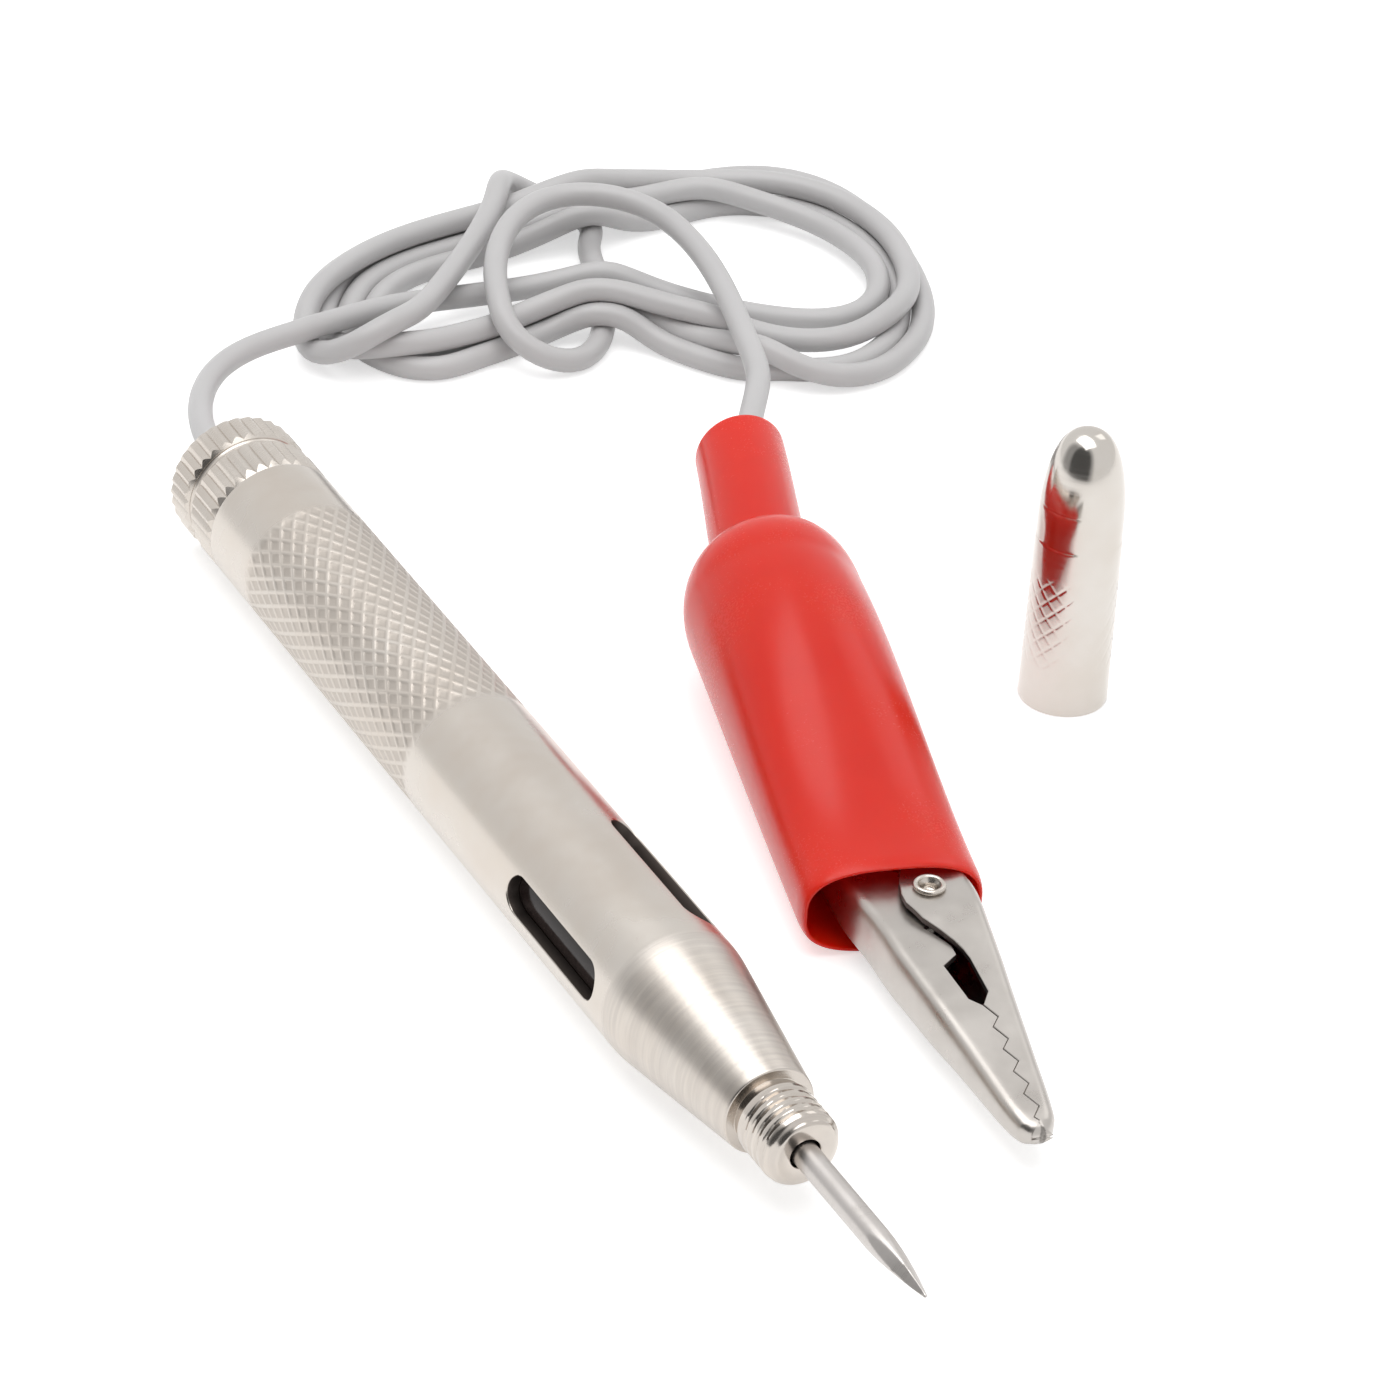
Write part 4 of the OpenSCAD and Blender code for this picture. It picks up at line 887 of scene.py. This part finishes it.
def barrel_finish():
    mat, tree, shader = material("nickel_barrel", Metallic=1.0)
    place = node(tree, "SeparateXYZ", Vector=node(tree, "TexCoord").outputs["Object"]).outputs
    s = math_of(tree, "SUBTRACT", TAIL_Y * MM, place[1])
    across = math_of(tree, "SUBTRACT", place[0], TESTER_X * MM)
    up = math_of(tree, "SUBTRACT", place[2], BARREL_R * MM)
    turn = math_of(tree, "DIVIDE", math_of(tree, "ARCTAN2", up, across), TAU)
    reach = math_of(tree, "SQRT", math_of(tree, "ADD", math_of(tree, "MULTIPLY", across, across),
                                          math_of(tree, "MULTIPLY", up, up)))
    fine = noise(tree, place_of(tree, (70, 9000, 70)), 1.0, 4.0, 0.6)
    coarse = noise(tree, place_of(tree, (160, 2600, 160)), 1.0, 3.0, 0.6)
    patches = noise(tree, place_of(tree), 130, 3.0, 0.6)
    speck = noise(tree, place_of(tree), 3000, 2.0, 0.7)
    turned = spread(tree, s, 0.0, 1.0, 0.0908, 0.0912)
    thread = spread(tree, s, 0.0, 1.0, 0.1082, 0.1083)
    # The knurl's sunken squares are painted darker, as painted shade, and are rougher than the raised lines
    grip = both(tree, spread(tree, s, 0.0, 1.0, 0.0177, 0.0188), spread(tree, s, 1.0, 0.0, 0.0518, 0.0528))
    offs = []
    for way in (1, -1):
        travel = math_of(tree, "MULTIPLY", math_of(tree, "SUBTRACT", s, GRIP_START * MM), way / (KNURL_PITCH * MM))
        offs.append(math_of(tree, "PINGPONG", math_of(tree, "ADD", math_of(
            tree, "MULTIPLY", turn, KNURL_LINES), travel), 0.5))
    shaded_squares = both(tree, grip, spread(tree, math_of(tree, "MINIMUM", *offs), 0.0, 1.0, 0.1, 0.19))
    # The walls of the windows and the bore behind them are painted dark, as painted shade, and made rougher
    cut = both(tree, spread(tree, reach, 1.0, 0.0, 0.00634, 0.00642), spread(tree, s, 0.0, 1.0, 0.070, 0.0702),
               spread(tree, s, 1.0, 0.0, 0.0903, 0.0905))
    colour = tint(tree, patches, (0.3, (0.57, 0.515, 0.46)), (0.7, (0.61, 0.57, 0.525)))
    streaks = both(tree, turned, spread(tree, coarse, 0.0, 0.4, 0.35, 0.65))
    colour = node(tree, "MixRGB", Fac=streaks, Color1=colour, Color2=(0.42, 0.385, 0.36, 1)).outputs[0]
    # Painted shade: darker colour in the knurl's sunken squares
    colour = node(tree, "MixRGB", Fac=shaded_squares, Color1=colour, Color2=(0.50, 0.455, 0.41, 1)).outputs[0]
    # Painted shade: near-black colour on the window walls and the bore
    colour = node(tree, "MixRGB", Fac=cut, Color1=colour, Color2=(0.12, 0.10, 0.09, 1)).outputs[0]
    tree.links.new(colour, shader.inputs["Base Color"])
    rough = math_of(tree, "ADD", 0.25, math_of(tree, "MULTIPLY", turned, 0.06))
    rough = math_of(tree, "SUBTRACT", rough, math_of(tree, "MULTIPLY", thread, 0.15))
    rough = math_of(tree, "ADD", rough, math_of(tree, "MULTIPLY", grip, 0.12))
    rough = math_of(tree, "ADD", rough, math_of(tree, "MULTIPLY", shaded_squares, 0.06))
    rough = math_of(tree, "ADD", rough, math_of(tree, "MULTIPLY", cut, 0.2))
    rough = math_of(tree, "ADD", rough, spread(tree, patches, -0.04, 0.05, 0.3, 0.7))
    tree.links.new(rough, shader.inputs["Roughness"])
    depth = math_of(tree, "ADD", 0.22, math_of(tree, "MULTIPLY", turned, 3.0))
    depth = math_of(tree, "SUBTRACT", depth, math_of(tree, "MULTIPLY", thread, 3.1))
    cuts = both(tree, math_of(tree, "ADD", fine, coarse), depth)
    cuts = math_of(tree, "ADD", cuts, math_of(tree, "MULTIPLY", both(tree, speck, turned), 1.2))
    tree.links.new(bump(tree, cuts, 0.0000035), shader.inputs["Normal"])
    return mat


def soft_pvc(name, base, deep, rough, undulate, subsurface=0.0, radius=(1, 1, 1), shine=0.5):
    mat, tree, shader = material(name, Specular_IOR_Level=shine, IOR=1.5, Subsurface_Weight=subsurface,
                                 Subsurface_Radius=radius, Subsurface_Scale=0.001)
    patches = noise(tree, place_of(tree), 90, 3.0, 0.5)
    speck = noise(tree, place_of(tree), 4500, 3.0, 0.6)
    waves = noise(tree, place_of(tree), 260, 2.0, 0.5)
    tree.links.new(tint(tree, patches, (0.35, deep), (0.65, base)), shader.inputs["Base Color"])
    gloss = math_of(tree, "ADD", spread(tree, patches, rough * 0.88, rough * 1.15, 0.3, 0.7),
                    spread(tree, speck, -0.03, 0.03, 0.3, 0.7))
    tree.links.new(gloss, shader.inputs["Roughness"])
    normal = bump(tree, waves, undulate)
    tree.links.new(bump(tree, speck, 0.000002, 0.5, normal), shader.inputs["Normal"])
    return mat


def clear(name, colour, rough):
    mat, tree, shader = material(name, Transmission_Weight=1.0, IOR=1.47, Base_Color=(*colour, 1))
    haze = noise(tree, place_of(tree), 900, 3.0, 0.6)
    tree.links.new(spread(tree, haze, rough * 0.6, rough * 1.6, 0.3, 0.7), shader.inputs["Roughness"])
    return mat


def shaded_sleeve():
    """Glossy sleeve painted near black, as painted shade of the unlit inside; it shows next to nothing of the bulb
    while it is out.
    """
    mat, tree, shader = material("sleeve_painted_shade", Transmission_Weight=0.12, IOR=1.4, Specular_IOR_Level=0.22)
    haze = noise(tree, place_of(tree, (120, 1500, 120)), 1.0, 3.0, 0.6)
    # Painted shade: near-black base colour for the barrel's unlit inside
    tree.links.new(tint(tree, haze, (0.3, (0.02, 0.013, 0.012)), (0.7, (0.03, 0.02, 0.018))),
                   shader.inputs["Base Color"])
    tree.links.new(spread(tree, haze, 0.1, 0.2, 0.3, 0.7), shader.inputs["Roughness"])
    tree.links.new(bump(tree, haze, 0.000002), shader.inputs["Normal"])
    return mat


def dull(name, base, deep, rough, scale=900):
    mat, tree, shader = material(name)
    grain = noise(tree, place_of(tree), scale, 4.0, 0.6)
    tree.links.new(tint(tree, grain, (0.35, deep), (0.65, base)), shader.inputs["Base Color"])
    tree.links.new(spread(tree, grain, rough * 0.85, rough * 1.15, 0.3, 0.7), shader.inputs["Roughness"])
    tree.links.new(bump(tree, grain, 0.000008, 0.6), shader.inputs["Normal"])
    return mat


nickel_barrel = barrel_finish()
nickel = metal("nickel_plate", (0.61, 0.57, 0.525), (0.57, 0.52, 0.47), 0.26, (60, 6000, 60), 0.0000006)
nickel_upright = metal("nickel_cap", (0.61, 0.58, 0.545), (0.57, 0.53, 0.485), 0.13, (50, 50, 7000), 0.0000005)
steel_needle = metal("steel_ground", (0.58, 0.55, 0.53), (0.52, 0.49, 0.465), 0.3, (90, 7000, 90), 0.000002, 300,
                     0.0000012)
steel_sheet = metal("steel_sheet", (0.52, 0.49, 0.46), (0.47, 0.44, 0.41), 0.3, (500, 500, 500), 0.000002, 220,
                    0.0000008)
# Painted shade: near-black colour on the sheet's cut edge
steel_edge_shade = metal("steel_edge_painted_shade", (0.22, 0.19, 0.18), (0.15, 0.12, 0.115), 0.42, (900, 900, 900), 0.000004, 500,
                   0.000002)
brass = metal("brass_turned", (0.68, 0.47, 0.2), (0.55, 0.36, 0.14), 0.3, (60, 7000, 60))
copper = metal("copper_bare", (0.72, 0.36, 0.2), (0.6, 0.28, 0.15), 0.35, (900, 900, 900))
spring_wire = metal("spring_wire", (0.52, 0.5, 0.47), (0.45, 0.43, 0.4), 0.28, (700, 700, 700))
tungsten = metal("tungsten_wire", (0.35, 0.34, 0.33), (0.25, 0.24, 0.23), 0.4, (900, 900, 900))
red_pvc = soft_pvc("boot_pvc", (0.84, 0.02, 0.004), (0.79, 0.016, 0.004), 0.24, 0.000008, 0.6, (2.0, 0.1, 0.06), 0.33)
grey_pvc = soft_pvc("cord_pvc", (0.60, 0.59, 0.59), (0.565, 0.555, 0.555), 0.4, 0.000012)
sleeve_shade = shaded_sleeve()
bulb_clear = clear("bulb_clear", (0.98, 0.98, 0.98), 0.02)
paxolin = dull("insulator_board", (0.2, 0.11, 0.06), (0.14, 0.075, 0.04), 0.55)
sleeve_fibre = dull("insulator_fibre", (0.62, 0.56, 0.42), (0.55, 0.49, 0.36), 0.6)
vitrite = dull("insulator_glass", (0.035, 0.033, 0.035), (0.02, 0.02, 0.022), 0.25)

dress(barrel, nickel_barrel)
dress(tail_cap, nickel)
dress(needle, steel_needle)
dress(needle_cap, nickel_upright)
dress(boot, red_pvc)
dress(cord, grey_pvc)
dress(jaw_fixed, steel_sheet, steel_edge_shade)
dress(jaw_moving, steel_sheet, steel_edge_shade)
dress(rivet, nickel)

CAD_FINISH = {"cord_ferrule": brass, "tail_conductor": copper, "insulating_washer": paxolin, "contact_disc": brass,
              "spring_sleeve": sleeve_fibre, "contact_spring": spring_wire, "contact_plunger": brass,
              "bulb_holder": brass, "bulb_base": brass, "base_insulator": vitrite, "bulb_glass": bulb_clear,
              "bulb_filament": tungsten, "window_sleeve": sleeve_shade, "clip_spring": spring_wire,
              "clip_conductor": copper}
for name, finish in CAD_FINISH.items():
    for slot in bpy.data.objects[name].material_slots:
        slot.material = finish


# ------------------------------------------------------- floor, lights, sky
def seen_rays(tree):
    """1 for what the camera sees, directly or in a reflection or through glass."""
    path = node(tree, "LightPath").outputs
    return math_of(tree, "MAXIMUM", path["Is Camera Ray"], math_of(
        tree, "MAXIMUM", path["Is Glossy Ray"], path["Is Transmission Ray"]))


def make_floor():
    size = 4.0
    data = bpy.data.meshes.new("floor")
    data.from_pydata([(-size, -size, 0), (size, -size, 0), (size, size, 0), (-size, size, 0)], [], [(0, 1, 2, 3)])
    obj = bpy.data.objects.new("floor", data)
    bpy.context.scene.collection.objects.link(obj)
    mat, tree, shader = material("floor_white", Roughness=0.7, Specular_IOR_Level=0.1)
    patches = noise(tree, place_of(tree), 12, 3.0, 0.5)
    tree.links.new(tint(tree, patches, (0.3, (0.80, 0.80, 0.80)), (0.7, (0.81, 0.81, 0.81))),
                   shader.inputs["Base Color"])
    lift = node(tree, "Emission", Color=(1, 1, 1, 1), Strength=math_of(tree, "MULTIPLY", seen_rays(tree), 0.56))
    added = node(tree, "AddShader", i0=shader.outputs[0], i1=lift.outputs[0])
    tree.links.new(added.outputs[0], tree.nodes["Material Output"].inputs["Surface"])
    dress(obj, mat)


def make_world():
    """White surroundings that light the object, with a dark side that only reflections show."""
    world = bpy.data.worlds.new("world")
    bpy.context.scene.world = world
    world.use_nodes = True
    tree = world.node_tree
    background = tree.nodes["Background"]
    around = node(tree, "TexCoord").outputs["Generated"]
    zones = []
    # Each dark disc: its middle, the angles within which it is full and beyond which it is gone, and its depth
    for centre, full, out, depth in (((-0.78, -0.52, 0.33), 32, 50, 0.9), ((-0.93, 0.06, 0.35), 24, 40, 0.6)):
        towards = node(tree, "VectorMath", {"operation": "DOT_PRODUCT"}, i0=around, i1=Vector(centre).normalized())
        zones.append(spread(tree, towards.outputs["Value"], 0.0, depth, math.cos(math.radians(out)),
                            math.cos(math.radians(full))))
    glossy = node(tree, "LightPath").outputs["Is Glossy Ray"]
    dark = math_of(tree, "MULTIPLY", math_of(tree, "MAXIMUM", *zones), glossy)
    light = math_of(tree, "MULTIPLY", spread(tree, seen_rays(tree), 0.5, 1.0), math_of(tree, "SUBTRACT", 1.0, dark))
    tree.links.new(light, background.inputs["Strength"])
    background.inputs["Color"].default_value = (1, 1, 1, 1)


def make_lamp(name, at, aim, size, power):
    data = bpy.data.lights.new(name, "AREA")
    data.shape, data.size, data.size_y = "RECTANGLE", size[0], size[1]
    data.energy = power
    obj = bpy.data.objects.new(name, data)
    bpy.context.scene.collection.objects.link(obj)
    obj.location = Vector(at)
    obj.rotation_euler = (Vector(aim) - Vector(at)).to_track_quat("-Z", "Y").to_euler()


make_floor()
make_world()
make_lamp("softbox", (-0.13, 0.05, 0.9), (-0.13, 0.05, 0), (0.74, 1.1), 5.4)
make_lamp("fill", (0.7, 0.3, 0.7), (0, 0, 0), (0.4, 0.4), 0.4)

bpy.context.scene.view_settings.view_transform = "Standard"
